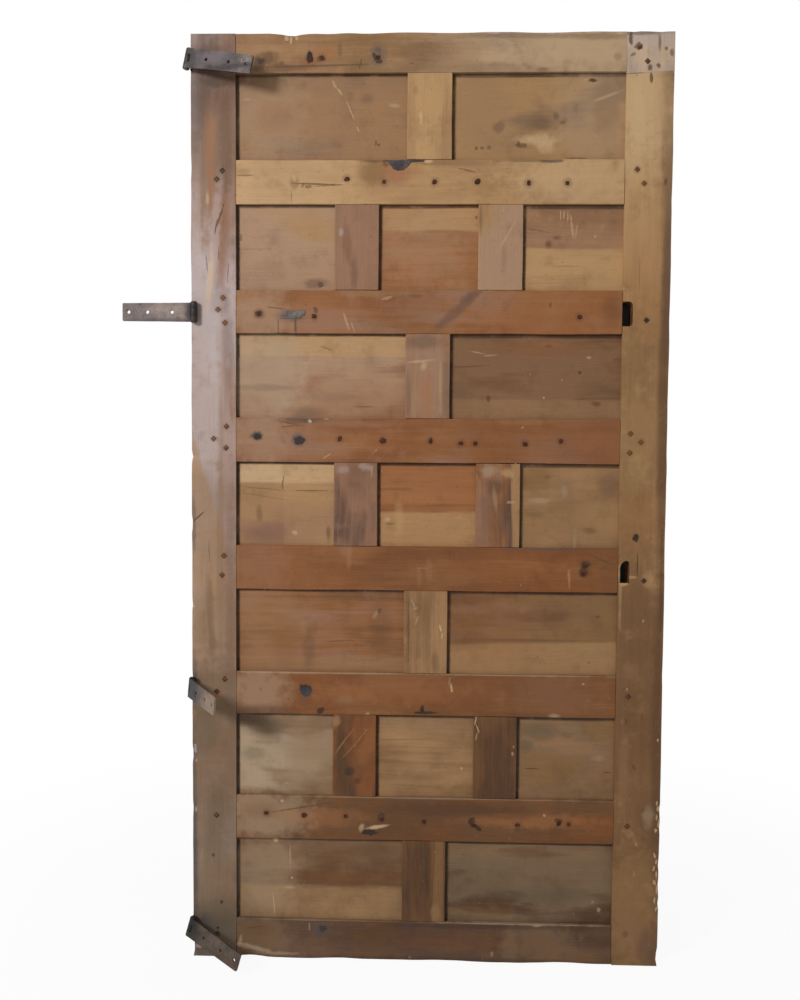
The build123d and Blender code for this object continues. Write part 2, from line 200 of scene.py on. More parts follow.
def wood(name, tones, upright=False, seed=0, zones=(), marks=(), holes=(), streaks=0.5, dirt=0.4):
    """Old wood: three tones drifting along the grain, zones and marks of others, dirt, painted shade in
    holes.

    A hole is its middle across and up, and half its width and height.
    """
    finish = Finish(name)
    along, across = (finish.z, finish.x) if upright else (finish.x, finish.z)
    drift = finish.noise(finish.vector(along * 2.5, across * 3.0, seed * 1.7), 1.0, 2.0)
    wander = across + (drift - 0.5) * 0.03
    layer = finish.y * 9.0 + seed * 3.1

    def grain(lengthways, sideways, detail, roughness):
        """Noise drawn out along the board, the same on every cut through it."""
        drawn = finish.vector(along * lengthways, wander * sideways, layer)
        return finish.noise(drawn, 2.0, detail, roughness)

    def tinted(mask, tone_name):
        """The colour so far, with a tone laid over it."""
        return finish.mix(mask, colour, wood_tones[tone_name])

    # Grain from broad blotches down to pores, and the unevenness of the edges of zones.
    blotch = grain(2.2, 7.0, 3.0, 0.5)
    streak = grain(1.6, 46.0, 4.0, 0.6)
    lines = grain(5.0, 230.0, 3.0, 0.6)
    pores = grain(40.0, 700.0, 1.0, 0.5)
    ragged = (grain(6.0, 40.0, 4.0, 0.6) - 0.5) * 26.0
    # The three tones, with the zones over them.
    low, middle, high = (wood_tones[key] for key in tones)
    body = finish.step(blotch * (1 - streaks * 0.5) + streak * (streaks * 0.5), 0.36, 0.64)
    colour = finish.add("ShaderNodeValToRGB", [body], stops=[(0.0, low), (0.5, middle), (1.0, high)])
    for tone_name, side, limit, strength, soft, slope in zones:
        upwards = side in ("above", "below")
        level = finish.z * 1000.0 if upwards else (finish.x - hinge_edge) * 1000.0
        if slope:
            level = level + (finish.x if upwards else finish.z) * slope * 1000.0
        way = 1 if side in ("above", "right") else -1
        waver = soft / 14 + (0.15 if soft > 2.5 else 0.0)
        beyond = finish.step(level + ragged * waver, limit - soft * way, limit + soft * way)
        shade = finish.mix(streak * 0.25, wood_tones[tone_name], middle)
        colour = finish.mix(beyond * strength, colour, shade)
    # Grain lines, pores, mottling and grime run on through every zone.
    colour = tinted(finish.step(lines, 0.5, 0.72) * (0.07 + streaks * 0.1), "umber")
    colour = tinted(finish.step(lines, 0.48, 0.28) * 0.06, "cream")
    colour = tinted(finish.step(pores, 0.6, 0.75) * 0.12, "soot")
    mottle = finish.noise(finish.place, 20.0, 5.0, 0.65)
    colour = tinted(finish.step(mottle, 0.5, 0.72) * 0.24, "umber")
    colour = finish.mix(finish.step(mottle, 0.5, 0.28) * 0.45, colour, high)
    grime = finish.noise(finish.place, 7.0, 5.0, 0.62)
    fleck = finish.noise(finish.place, 150.0, 2.0, 0.5)
    foot = finish.step(finish.z, 0.5, 0.02) * 0.25
    dirty = finish.step(grime, 0.5, 0.78) * dirt * 0.5 + foot * finish.step(grime, 0.35, 0.62)
    colour = tinted(dirty, "soot")
    colour = tinted(finish.step(fleck, 0.69, 0.76) * 0.35, "soot")
    colour = tinted(finish.step(fleck, 0.29, 0.24) * 0.2, "cream")
    # Marks lie on the plain face alone, and the dark crisp ones are a little sunk.
    rim = (finish.noise(finish.place, 150.0, 4.0, 0.7) - 0.5) * 2.0
    bloom = (finish.noise(finish.place, 40.0, 4.0, 0.6) - 0.5) * 1.8
    unmarked = colour
    hollow = 0.0
    for tone_name, u, z, wide, tall, strength, turn, soft in marks:
        mask = finish.spot(u, z, wide, tall, turn, soft, strength, bloom if soft > 0.4 else rim)
        colour = tinted(mask, tone_name)
        if tone_name in ("soot", "umber") and soft < 0.3:
            hollow = mask + hollow
    front = finish.step(finish.y, 0.002, -0.006)
    colour = finish.mix(front, unmarked, colour)
    # A hole is painted black between the two faces of the board, as painted shade for its dark inside,
    # and leaves the faces themselves as they are.
    for u, z, wide, tall in holes:
        behind_face = finish.step(finish.y, face + 0.001, face + 0.003)
        before_back = finish.step(finish.y, back - 0.002, back - 0.004)
        colour = tinted(finish.spot(u, z, wide, tall) * (behind_face * before_back), "black")
    height = streak * 0.25 + lines * 0.45 + grime * 0.3 - hollow * 0.8
    rough = 0.6 + (body - 0.5) * 0.12 + dirty * 0.3
    return finish.surface(colour, rough, height, 0.0008)


def stain(tone_name, u, z, wide, high, strength=0.5, turn=0.0, soft=0.55):
    """A mark with a soft rim, in millimetres on the face."""
    return (tone_name, u, z, wide, high, strength, turn, soft)


def scar(tone_name, u, z, wide, high, strength=0.85, turn=0.0):
    """A mark with a crisp rim: a crack, a hole, a chip or a scratch."""
    return (tone_name, u, z, wide, high, strength, turn, 0.22)


def zone(tone_name, side, limit, strength=0.8, soft=5.0, slope=0.0):
    """A part of the board beyond a limit, across the hinge edge or up from the foot."""
    return (tone_name, side, limit, strength, soft, slope)


def placed(shape, name, material, body="leaf", node=None):
    """A finished piece in the scene, riding on its body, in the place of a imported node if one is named."""
    mesh = bpy.data.meshes.new(name)
    shape.to_mesh(mesh)
    shape.free()
    mesh.materials.append(material)
    piece = bpy.data.objects.new(name, mesh)
    bpy.context.scene.collection.objects.link(piece)
    if node:
        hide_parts(node)
    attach(piece, body)


def worn(node, material, body="leaf", wear=0.0013, spacing=0.014, wave=0.0009, dents=()):
    """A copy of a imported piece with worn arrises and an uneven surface, in its node's place.

    A dent is its middle across and up, its radius and its depth in millimetres.
    """
    shape = bmesh.new()
    shape.from_mesh(nodes[node].data)
    bmesh.ops.remove_doubles(shape, verts=shape.verts, dist=1e-6)
    bmesh.ops.dissolve_limit(shape, angle_limit=0.01, verts=shape.verts, edges=shape.edges)
    arrises = [edge for edge in shape.edges if edge.is_manifold and edge.calc_face_angle(0.0) > 0.5]
    bmesh.ops.bevel(shape, geom=arrises, offset=wear, offset_type="OFFSET", segments=2, profile=0.5,
                    affect="EDGES", material=-1, clamp_overlap=True)
    # Cuts across the long axis, to have points that can move.
    low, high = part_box(node)
    size = high - low
    axis = max(range(3), key=lambda i: size[i])
    normal = Vector([float(i == axis) for i in range(3)])
    for count in range(1, int(size[axis] / spacing)):
        geometry = shape.verts[:] + shape.edges[:] + shape.faces[:]
        bmesh.ops.bisect_plane(shape, geom=geometry, plane_co=low + normal * spacing * count,
                               plane_no=normal, dist=1e-7)
    bmesh.ops.triangulate(shape, faces=shape.faces[:])
    # Points near a side sink by a slow wave, and further inside a dent.
    middle = (low + high) / 2
    start = Vector((len(node) * 1.3, low.x * 7.0, low.z * 5.0))
    for vert in shape.verts:
        roll = 0.6 + noise.noise(vert.co * 8.0 + start) + 0.4 * noise.noise(vert.co * 30.0)
        depth = wave * max(0.0, roll)
        for u, z, radius, drop in dents:
            far = math.hypot(vert.co.x - hinge_edge - u / 1000, vert.co.z - z / 1000) * 1000 / radius
            if far < 1.0:
                depth += drop / 1000 * (1 - far * far) ** 2
        for i in range(3):
            inward = middle[i] - vert.co[i]
            if i != axis and abs(inward) > size[i] / 2 - wear * 1.6:
                vert.co[i] += math.copysign(min(depth, size[i] * 0.2), inward)
    placed(shape, node + "_worn", material, body, node)


def islands(shape):
    """The separate solids of a mesh, as lists of vertices."""
    left, groups = set(shape.verts), []
    while left:
        group, edge = [], [left.pop()]
        while edge:
            vert = edge.pop()
            group.append(vert)
            for other in (link.other_vert(vert) for link in vert.link_edges):
                if other in left:
                    left.discard(other)
                    edge.append(other)
        groups.append(group)
    return groups


def pins(node):
    """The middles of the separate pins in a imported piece, at the face they come out of."""
    shape = bmesh.new()
    shape.from_mesh(nodes[node].data)
    bmesh.ops.remove_doubles(shape, verts=shape.verts, dist=1e-6)
    middles = []
    for group in islands(shape):
        centre = sum((vert.co for vert in group), Vector()) / len(group)
        middles.append((centre.x, min(vert.co.y for vert in group), centre.z))
    shape.free()
    return sorted(middles)


pin_places = {node: pins(node) for node in ("hinge_stile_pegs", "lock_stile_pegs", "rail_nails")}


def halos(node, pin_node, tone_name, size, strength):
    """Stains round the pins that come out of a board."""
    low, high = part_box(node)
    inside = [(x, z) for x, y, z in pin_places[pin_node] if low.x < x < high.x and low.z < z < high.z]
    return [stain(tone_name, (x - hinge_edge) * 1000, z * 1000, size, size, strength) for x, z in inside]


hinge_stile_finish = wood(
    "hinge_stile_wood", ("mauve", "lilac", "lilac"), upright=True, seed=1, dirt=0.3,
    zones=[
        zone("cocoa", "above", 1590, 0.85, 70),
        zone("plum", "above", 1850, 0.8, 40),
        zone("lilac", "left", 20, 0.5, 8),
        zone("straw", "left", 372, 0.75, 9, 0.323),
        zone("mauve", "right", 61, 0.5, 5),
        zone("bark", "below", 640, 0.8, 70),
        zone("moss", "below", 190, 0.5, 120),
        # Painted shade: black beyond 96.3 mm darkens the stile's inner side wall, turned from the lamp.
        zone("black", "right", 96.3, 0.7, 0.5),
    ],
    marks=[
        stain("umber", 50, 1850, 80, 130, 0.35), stain("bark", 50, 1751, 70, 60, 0.4),
        scar("soot", 79, 1940, 6, 6, 0.85), stain("pearl", 50, 1420, 80, 130, 0.5),
        stain("clay", 50, 970, 70, 110, 0.45), stain("bark", 50, 744, 70, 70, 0.35),
        stain("brown", 50, 500, 80, 160, 0.45), stain("bark", 28, 800, 20, 110, 0.2),
        stain("plum", 86, 800, 12, 220, 0.35), stain("bark", 50, 560, 60, 120, 0.45),
        stain("slate", 3, 330, 6, 190, 0.5), stain("clay", 62, 160, 46, 70, 0.4),
        stain("soot", 14, 45, 22, 34, 0.5), stain("copper", 42, 1770, 11, 75, 0.5),
        stain("copper", 50, 1640, 10, 60, 0.4, 6), stain("russet", 66, 1600, 16, 70, 0.6),
        stain("russet", 62, 1500, 12, 40, 0.5, -8), stain("umber", 75, 1780, 14, 110, 0.4),
        stain("slate", 12, 1850, 14, 90, 0.4), stain("plum", 80, 1330, 12, 90, 0.4),
        stain("umber", 60, 1440, 20, 30, 0.25), stain("umber", 40, 760, 8, 90, 0.3, 3),
        stain("clay", 62, 900, 8, 260, 0.5), stain("slate", 26, 40, 44, 44, 0.6),
        stain("moss", 30, 520, 26, 60, 0.4), stain("moss", 60, 300, 30, 80, 0.35),
        stain("moss", 50, 60, 50, 70, 0.6), stain("umber", 25, 1860, 14, 60, 0.35),
        stain("lilac", 52, 1565, 10, 120, 0.6, -4), stain("cream", 40, 1480, 6, 60, 0.5, -5),
        stain("lilac", 20, 1330, 18, 140, 0.6), scar("umber", 63, 1618, 2.0, 26, 0.8, -18),
        scar("umber", 54, 1595, 1.6, 16, 0.7, -10), scar("umber", 60, 1538, 1.3, 12, 0.6),
        scar("umber", 34, 1520, 1.2, 20, 0.5, 6), scar("umber", 80, 1500, 1.2, 24, 0.5, -5),
        scar("umber", 15, 975, 1.6, 18, 0.8, -48), scar("soot", 72, 623, 3, 3, 0.9),
        scar("soot", 54, 593, 3, 3, 0.9), stain("copper", 56, 585, 9, 9, 0.5),
        scar("soot", 64, 123, 4, 4, 0.7), scar("soot", 45, 228, 4, 4, 0.6),
        scar("soot", 55, 64, 3, 3, 0.9), scar("umber", 38, 900, 1.4, 22, 0.4, 3),
        stain("slate", 4, 960, 5, 60, 0.5), stain("slate", 5, 610, 6, 60, 0.6),
        stain("slate", 4, 200, 7, 120, 0.65), stain("slate", 20, 60, 30, 30, 0.5),
        # The soot band just below the first strap is partly grime and partly painted shadow of the strap.
        stain("soot", 60, 1900, 40, 12, 0.45), scar("cream", 2, 1105, 4, 3, 0.52),
        scar("cream", 3, 780, 3, 3, 0.45), scar("pearl", 6, 465, 3, 9, 0.52),
        scar("pearl", 7, 330, 3, 5, 0.39), scar("pearl", 8, 440, 2, 4, 0.39),
        stain("cream", 36, 1655, 4, 14, 0.4), scar("lilac", 12, 22, 7, 5, 0.55),
        scar("cream", 40, 1150, 1.6, 2, 0.45),
    ] + halos("hinge_stile", "hinge_stile_pegs", "plum", 7, 0.4),
)
worn("hinge_stile", hinge_stile_finish,
     dents=[(0, 960, 22, 1.6), (0, 1105, 14, 1.8), (0, 612, 26, 1.4), (0, 455, 18, 2.0), (0, 20, 26, 3.0),
            (0, 330, 12, 1.5), (0, 780, 10, 1.2), (97, 20, 10, 1.0), (0, 1720, 30, 0.9)])


# Lock stile
# The long upright on the right, golden above and brown below, and darker along its outer edge. Two
# key pockets are cut where the third and the fifth rail meet it.
# Painted shade: inside the two key pockets the wood is painted black.
key_pockets = [(928, 1411, 17, 40), (928, 857, 17, 40)]
lock_stile_finish = wood(
    "lock_stile_wood", ("tan", "straw", "honey"), upright=True, seed=2, dirt=0.3,
    holes=key_pockets,
    zones=[
        zone("honey", "above", 1600, 0.85, 140),
        zone("cream", "above", 1710, 0.6, 110),
        zone("olive", "below", 1480, 0.85, 120),
        zone("tan", "right", 985, 0.4, 14),
        zone("brown", "below", 900, 0.65, 110),
        zone("brown", "below", 620, 0.4, 60),
        zone("olive", "below", 230, 0.5, 40),
        zone("umber", "right", 1005, 0.5, 6, 0.004),
    ],
    marks=[
        stain("honey", 962, 1560, 50, 150, 0.35), stain("straw", 960, 140, 60, 130, 0.3),
        stain("cream", 960, 1840, 60, 120, 0.3), stain("copper", 965, 1458, 46, 90, 0.25),
        stain("straw", 962, 1160, 44, 80, 0.4), stain("copper", 962, 976, 44, 60, 0.25),
        stain("umber", 965, 740, 60, 90, 0.28), stain("umber", 965, 550, 60, 100, 0.28),
        stain("tan", 965, 60, 60, 70, 0.35), stain("olive", 965, 160, 60, 70, 0.3),
        stain("umber", 1010, 1200, 12, 260, 0.5), stain("umber", 1008, 520, 12, 200, 0.45),
        stain("plum", 1013, 1500, 9, 170, 0.65), stain("clay", 1012, 1690, 8, 60, 0.5),
        stain("brown", 955, 560, 14, 80, 0.35), stain("tan", 940, 420, 12, 90, 0.35),
        stain("umber", 990, 330, 20, 30, 0.3), stain("plum", 1000, 40, 24, 40, 0.5),
        stain("cream", 945, 1830, 14, 60, 0.3), stain("cream", 926, 800, 3, 60, 0.25),
        scar("soot", 957, 938, 6, 8, 0.95), scar("umber", 972, 1904, 4, 9, 0.8),
        scar("umber", 962, 880, 1.4, 24, 0.85), scar("umber", 1006, 1690, 3, 6, 0.6),
        scar("umber", 944, 540, 1.6, 8, 0.7), scar("umber", 955, 1500, 1.2, 30, 0.3),
        scar("cream", 971, 1770, 22, 1.2, 0.33), scar("cream", 915, 1468, 9, 3, 0.39),
        scar("honey", 932, 838, 9, 4, 0.85), scar("honey", 919, 866, 5, 18, 0.8),
        scar("honey", 944, 853, 16, 3, 0.7), stain("honey", 985, 845, 14, 14, 0.5),
        scar("cream", 944, 610, 1.6, 3, 0.45), scar("cream", 976, 760, 2, 4, 0.39),
        scar("cream", 1013, 362, 2, 5, 0.62), scar("cream", 1016, 349, 3, 7, 0.62, 10),
        scar("cream", 1013, 330, 2, 6, 0.62), scar("cream", 1017, 316, 2, 9, 0.62, -8),
        scar("cream", 1012, 302, 3, 4, 0.7), scar("cream", 1010, 246, 2, 6, 0.62, 15),
        scar("cream", 1014, 232, 3, 5, 0.62), scar("cream", 1009, 217, 2, 5, 0.62, -12),
        scar("cream", 1015, 203, 2, 8, 0.62), scar("cream", 1011, 186, 3, 5, 0.62, 20),
        scar("cream", 1016, 170, 2, 9, 0.62), scar("cream", 1012, 146, 2, 6, 0.7),
        scar("cream", 1016, 128, 2, 5, 0.7, -15), scar("cream", 1012, 500, 2, 3, 0.6),
        scar("cream", 970, 270, 2, 5, 0.26, 20), stain("ash", 995, 330, 10, 26, 0.35),
        scar("cream", 966, 205, 1.2, 9, 0.23), scar("umber", 950, 70, 5, 8, 0.4),
        scar("umber", 962, 440, 3, 7, 0.5, 30), scar("soot", 1014, 850, 4, 120, 0.35),
    ] + halos("lock_stile", "lock_stile_pegs", "umber", 7, 0.35),
)
worn("lock_stile", lock_stile_finish,
     dents=[(1020, 345, 16, 1.4), (1020, 305, 14, 1.2), (1020, 228, 18, 1.5), (1020, 180, 20, 1.3),
            (1020, 140, 12, 1.2), (1020, 20, 16, 3.0), (1020, 1120, 30, 0.6), (1020, 640, 26, 0.7),
            (1020, 1650, 24, 0.6), (1020, 1400, 40, 0.6), (920, 1350, 8, 0.8)])

patch_finish = wood(
    "patch_wood", ("ash", "ash", "cream"), upright=True, seed=3, dirt=0.2,
    zones=[zone("pearl", "below", 2100, 0.3, 10), zone("pearl", "above", 1968, 0.35, 14)],
    marks=[
        scar("umber", 944, 1969, 8, 7, 0.8), scar("soot", 947, 1966, 5, 4, 0.8),
        scar("umber", 928, 1985, 4, 12, 0.8), scar("umber", 933, 1952, 7, 3, 0.6, 25),
        scar("umber", 969, 1925, 4, 6, 0.75), scar("umber", 986, 1930, 4, 5, 0.75),
        scar("umber", 975, 1912, 4, 4, 0.6), stain("umber", 988, 1978, 3, 15, 0.6),
        scar("umber", 1002, 1964, 4, 4, 0.7), scar("umber", 1014, 1956, 4, 8, 0.6),
        stain("slate", 940, 1997, 60, 5, 0.6),
    ],
)
worn("lock_stile_patch", patch_finish,
     dents=[(930, 2000, 12, 1.0), (1020, 1960, 14, 1.2), (990, 2000, 20, 0.8)])


# Rails
# Eight boards across the leaf, each tenoned into both stiles and pegged there. Every one was sawn
# from another tree: the upper ones are honey and tan, the middle ones red, the lowest is dark.
rail_looks = {
    "top_rail": dict(
        tones=("olive", "tan", "straw"),
        zones=[zone("ash", "right", 560, 0.85, 160), zone("clay", "below", 1938, 0.35, 8)],
        marks=[
            stain("ash", 870, 1962, 80, 46, 0.35), scar("soot", 115, 1934, 6, 6, 0.85),
            scar("pearl", 640, 1998, 14, 2, 0.5), scar("pearl", 762, 1997, 8, 3, 0.45),
            scar("pearl", 852, 1998, 20, 2, 0.5), scar("pearl", 905, 1996, 6, 2, 0.5),
            stain("cream", 830, 1962, 130, 46, 0.4), scar("plum", 254, 1950, 7, 13, 0.95),
            stain("copper", 284, 1958, 24, 14, 0.6), scar("umber", 278, 1946, 9, 5, 0.7),
            stain("russet", 252, 1940, 22, 8, 0.6), stain("slate", 398, 1954, 18, 22, 0.5),
            scar("soot", 392, 1950, 4, 10, 0.8, 20), scar("soot", 402, 1941, 6, 5, 0.8),
            # Soot and umber marks by the first strap's end: partly a real stain, partly painted strap
            # shadow.
            scar("slate", 398, 1965, 7, 6, 0.6), stain("umber", 165, 1948, 20, 14, 0.65),
            scar("soot", 152, 1943, 8, 5, 0.6, 30), stain("soot", 146, 1938, 13, 16, 0.7),
            stain("umber", 190, 1928, 60, 7, 0.55), scar("umber", 270, 1932, 110, 2, 0.6, 1),
            stain("russet", 235, 1950, 20, 6, 0.4), scar("umber", 195, 1938, 6, 4, 0.5),
            scar("cream", 205, 1990, 4, 7, 0.55), scar("cream", 214, 1988, 2.5, 8, 0.55),
            scar("cream", 226, 1991, 3, 4, 0.45), stain("umber", 318, 1965, 4, 16, 0.35),
            scar("umber", 362, 1935, 2, 12, 0.5, -15), stain("umber", 500, 1955, 60, 20, 0.25),
            stain("slate", 690, 1992, 120, 5, 0.35), stain("umber", 860, 1990, 60, 7, 0.4),
            scar("umber", 470, 1936, 5, 1.5, 0.5), stain("clay", 902, 1948, 7, 8, 0.5),
            stain("cream", 650, 1950, 40, 14, 0.3, 10), stain("umber", 745, 1922, 12, 4, 0.5),
        ],
    ),
    "rail_2": dict(
        tones=("straw", "honey", "honey"),
        zones=[zone("cream", "left", 340, 0.35, 90), zone("straw", "right", 640, 0.45, 140)],
        marks=[
            stain("tan", 455, 1690, 60, 40, 0.25), stain("cream", 830, 1695, 130, 50, 0.4),
            stain("olive", 392, 1710, 30, 30, 0.85), stain("mauve", 440, 1708, 22, 26, 0.5),
            stain("copper", 441, 1712, 34, 20, 0.5), stain("umber", 417, 1731, 10, 8, 0.7),
            stain("umber", 392, 1734, 28, 4, 0.6), stain("umber", 560, 1730, 80, 8, 0.4),
            stain("mauve", 600, 1718, 70, 12, 0.35), scar("slate", 765, 1733, 26, 4, 0.7),
            stain("umber", 715, 1734, 60, 3, 0.5), scar("umber", 262, 1686, 44, 1.5, 0.75, -2),
            scar("umber", 300, 1683, 30, 1.3, 0.6, 3), stain("olive", 222, 1690, 9, 12, 0.6),
            scar("umber", 252, 1680, 8, 3, 0.6), scar("umber", 240, 1683, 3, 6, 0.5),
            scar("umber", 118, 1704, 16, 1.6, 0.6), stain("olive", 112, 1712, 12, 6, 0.4),
            scar("cream", 222, 1698, 4, 6, 0.39), scar("umber", 590, 1714, 16, 1.6, 0.6, -12),
            scar("umber", 216, 1660, 1.3, 14, 0.4), stain("cream", 425, 1734, 6, 5, 0.7),
            stain("cream", 505, 1733, 8, 4, 0.7), stain("straw", 400, 1668, 30, 16, 0.4),
        ],
    ),
    "rail_3": dict(
        tones=("russet", "chestnut", "mauve"),
        zones=[zone("copper", "right", 660, 0.3, 120), zone("copper", "left", 330, 0.2, 60)],
        marks=[
            stain("ash", 150, 1412, 60, 50, 0.35), stain("umber", 459, 1412, 60, 46, 0.2),
            stain("copper", 760, 1412, 140, 50, 0.35), scar("soot", 146, 1412, 7, 6, 0.75),
            stain("umber", 146, 1410, 12, 10, 0.5), scar("umber", 185, 1424, 22, 1.6, 0.6, -6),
            stain("slate", 217, 1408, 32, 12, 0.6), scar("umber", 188, 1386, 1.3, 16, 0.6),
            scar("umber", 225, 1386, 2.5, 16, 0.75), scar("umber", 200, 1371, 14, 1.2, 0.5),
            scar("umber", 268, 1420, 4, 8, 0.7, 20), stain("plum", 568, 1418, 52, 10, 0.6, 42),
            stain("plum", 600, 1450, 24, 9, 0.5, 30), stain("mauve", 500, 1430, 70, 26, 0.35),
            stain("tan", 380, 1455, 60, 8, 0.45), scar("cream", 334, 1396, 2.5, 20, 0.33, 18),
            scar("cream", 348, 1384, 2, 12, 0.26, 18), scar("cream", 420, 1446, 12, 3, 0.33, 15),
            stain("umber", 480, 1450, 12, 4, 0.4), scar("umber", 768, 1432, 3, 6, 0.5),
            stain("tan", 640, 1440, 20, 6, 0.35), stain("umber", 900, 1420, 22, 30, 0.3),
        ],
    ),
    "rail_4": dict(
        tones=("russet", "chestnut", "mauve"),
        zones=[zone("mauve", "left", 300, 0.45, 60), zone("russet", "right", 560, 0.45, 140)],
        marks=[
            stain("ash", 150, 1143, 60, 50, 0.28), stain("russet", 620, 1143, 130, 50, 0.25),
            stain("russet", 870, 1143, 70, 50, 0.5), stain("plum", 240, 1190, 42, 12, 0.75),
            scar("slate", 252, 1186, 16, 6, 0.6), scar("umber", 205, 1180, 22, 1.5, 0.6, -12),
            scar("umber", 215, 1172, 26, 1.4, 0.5, 3), scar("cream", 256, 1183, 3.5, 3.5, 0.62),
            scar("cream", 292, 1188, 5, 1.4, 0.39), stain("mauve", 350, 1178, 70, 7, 0.5),
            stain("copper", 420, 1140, 130, 20, 0.25), scar("slate", 142, 1151, 13, 9, 0.85),
            stain("slate", 234, 1143, 15, 13, 0.85), scar("soot", 232, 1138, 5, 5, 0.7),
            scar("cream", 400, 1122, 4, 2, 0.33, 40), scar("cream", 293, 1108, 10, 1.6, 0.33, 35),
            stain("tan", 720, 1184, 60, 5, 0.35), scar("cream", 712, 1172, 3, 3, 0.26),
            stain("copper", 870, 1140, 60, 20, 0.2),
        ],
    ),
    "rail_5": dict(
        tones=("russet", "russet", "chestnut"),
        zones=[zone("chestnut", "left", 330, 0.5, 60), zone("brown", "right", 868, 0.5, 20)],
        marks=[
            stain("mauve", 150, 872, 60, 50, 0.35), stain("umber", 500, 872, 130, 50, 0.3),
            scar("soot", 851, 879, 10, 7, 0.9), scar("soot", 848, 862, 8, 10, 0.9),
            stain("umber", 850, 870, 16, 18, 0.5), stain("tan", 342, 888, 5, 24, 0.4),
            stain("mauve", 336, 905, 14, 10, 0.5), stain("tan", 515, 866, 7, 24, 0.3),
            stain("tan", 494, 850, 5, 20, 0.3), scar("cream", 500, 868, 12, 1.2, 0.2),
            stain("slate", 760, 911, 90, 4, 0.45), scar("cream", 816, 850, 2.5, 22, 0.23, 4),
            scar("umber", 560, 900, 1.5, 8, 0.5), scar("umber", 440, 862, 16, 1.2, 0.3),
            stain("copper", 640, 868, 180, 22, 0.25), scar("umber", 880, 892, 30, 1.4, 0.5, -22),
        ],
    ),
    "rail_6": dict(
        tones=("russet", "russet", "chestnut"),
        zones=[zone("brown", "right", 640, 0.5, 120), zone("mauve", "left", 160, 0.25, 40)],
        marks=[
            stain("ash", 150, 594, 60, 50, 0.42), stain("umber", 480, 594, 170, 50, 0.35),
            stain("mauve", 790, 594, 90, 50, 0.25), stain("copper", 470, 598, 150, 26, 0.4),
            stain("copper", 330, 592, 60, 22, 0.35), stain("plum", 248, 576, 12, 22, 0.4),
            scar("soot", 282, 554, 8, 6, 0.85, 20), scar("soot", 510, 552, 26, 3.2, 0.9),
            scar("soot", 503, 560, 5, 8, 0.9), scar("cream", 566, 606, 2.4, 12, 0.55, 8),
            scar("cream", 561, 622, 1.6, 10, 0.26, -10), stain("clay", 340, 580, 16, 8, 0.5),
            stain("soot", 160, 552, 60, 12, 0.4), scar("cream", 850, 620, 3, 2.2, 0.45),
            scar("cream", 384, 548, 4, 3, 0.33), stain("umber", 700, 550, 160, 6, 0.35),
            # Thin ash lines on the top arris: painted highlight, over worn bare wood.
            stain("cream", 788, 550, 12, 4, 0.35), stain("ash", 270, 637, 190, 2, 0.6),
            stain("ash", 700, 637, 200, 2, 0.5), scar("umber", 150, 600, 4, 3, 0.3),
            scar("russet", 700, 590, 120, 1.3, 0.4),
        ],
    ),
    "rail_7": dict(
        tones=("brown", "brown", "russet"),
        zones=[zone("mauve", "left", 190, 0.35, 40), zone("umber", "below", 284, 0.3, 10)],
        marks=[
            stain("ash", 165, 325, 90, 50, 0.5), stain("umber", 470, 325, 130, 50, 0.35),
            stain("copper", 290, 318, 90, 18, 0.4), stain("copper", 740, 318, 130, 16, 0.55),
            stain("tan", 175, 325, 60, 22, 0.4), scar("soot", 388, 287, 18, 8, 0.9, -6),
            stain("cream", 406, 298, 24, 3.5, 0.75, 10), stain("cream", 372, 296, 5, 9, 0.5, -20),
            scar("soot", 612, 314, 7, 9, 0.85, -25), scar("soot", 625, 300, 10, 4.5, 0.85, -35),
            scar("soot", 414, 320, 8, 9, 0.5, -40), scar("umber", 240, 338, 70, 1.6, 0.6, 10),
            scar("umber", 300, 340, 34, 1.5, 0.4, -4), stain("umber", 560, 340, 130, 15, 0.7),
            # Thin ash line on the top arris: painted highlight, over worn bare wood.
            stain("umber", 700, 332, 60, 12, 0.5), stain("ash", 560, 364, 330, 2, 0.4),
            scar("cream", 197, 352, 3, 3, 0.52), scar("cream", 770, 330, 2.5, 3, 0.45),
            scar("umber", 713, 296, 6, 5, 0.5), stain("umber", 150, 330, 40, 20, 0.25),
            scar("soot", 801, 320, 9, 4, 0.6), scar("russet", 680, 330, 20, 4, 0.5),
        ],
    ),
    "bottom_rail": dict(
        tones=("umber", "plum", "brown"),
        zones=[zone("clay", "left", 280, 0.25, 80), zone("clay", "below", 34, 0.3, 14)],
        marks=[
            stain("clay", 140, 48, 70, 50, 0.5), stain("soot", 420, 48, 100, 50, 0.28),
            stain("clay", 765, 48, 70, 50, 0.5), stain("slate", 285, 66, 16, 15, 0.85),
            scar("soot", 288, 68, 8, 7, 0.6), stain("brown", 150, 62, 30, 14, 0.4),
            scar("umber", 140, 68, 22, 1.5, 0.4, 10), stain("ash", 130, 22, 46, 5, 0.7, -12),
            stain("ash", 190, 10, 40, 4, 0.5), scar("ash", 258, 72, 2, 9, 0.4),
            scar("cream", 105, 36, 4, 12, 0.33, -8), stain("russet", 560, 44, 120, 14, 0.25),
            stain("soot", 640, 80, 190, 5, 0.35), stain("clay", 700, 30, 20, 30, 0.3),
            scar("ash", 660, 20, 3, 6, 0.4), scar("ash", 757, 84, 8, 3, 0.5),
            scar("ash", 480, 8, 4, 3, 0.4), stain("soot", 560, 4, 330, 5, 0.4),
            # Thin ash lines on the top arris: painted highlight, over worn bare wood.
            stain("ash", 720, 87, 200, 2, 0.6), stain("ash", 300, 87, 150, 2, 0.3),
        ],
    ),
}
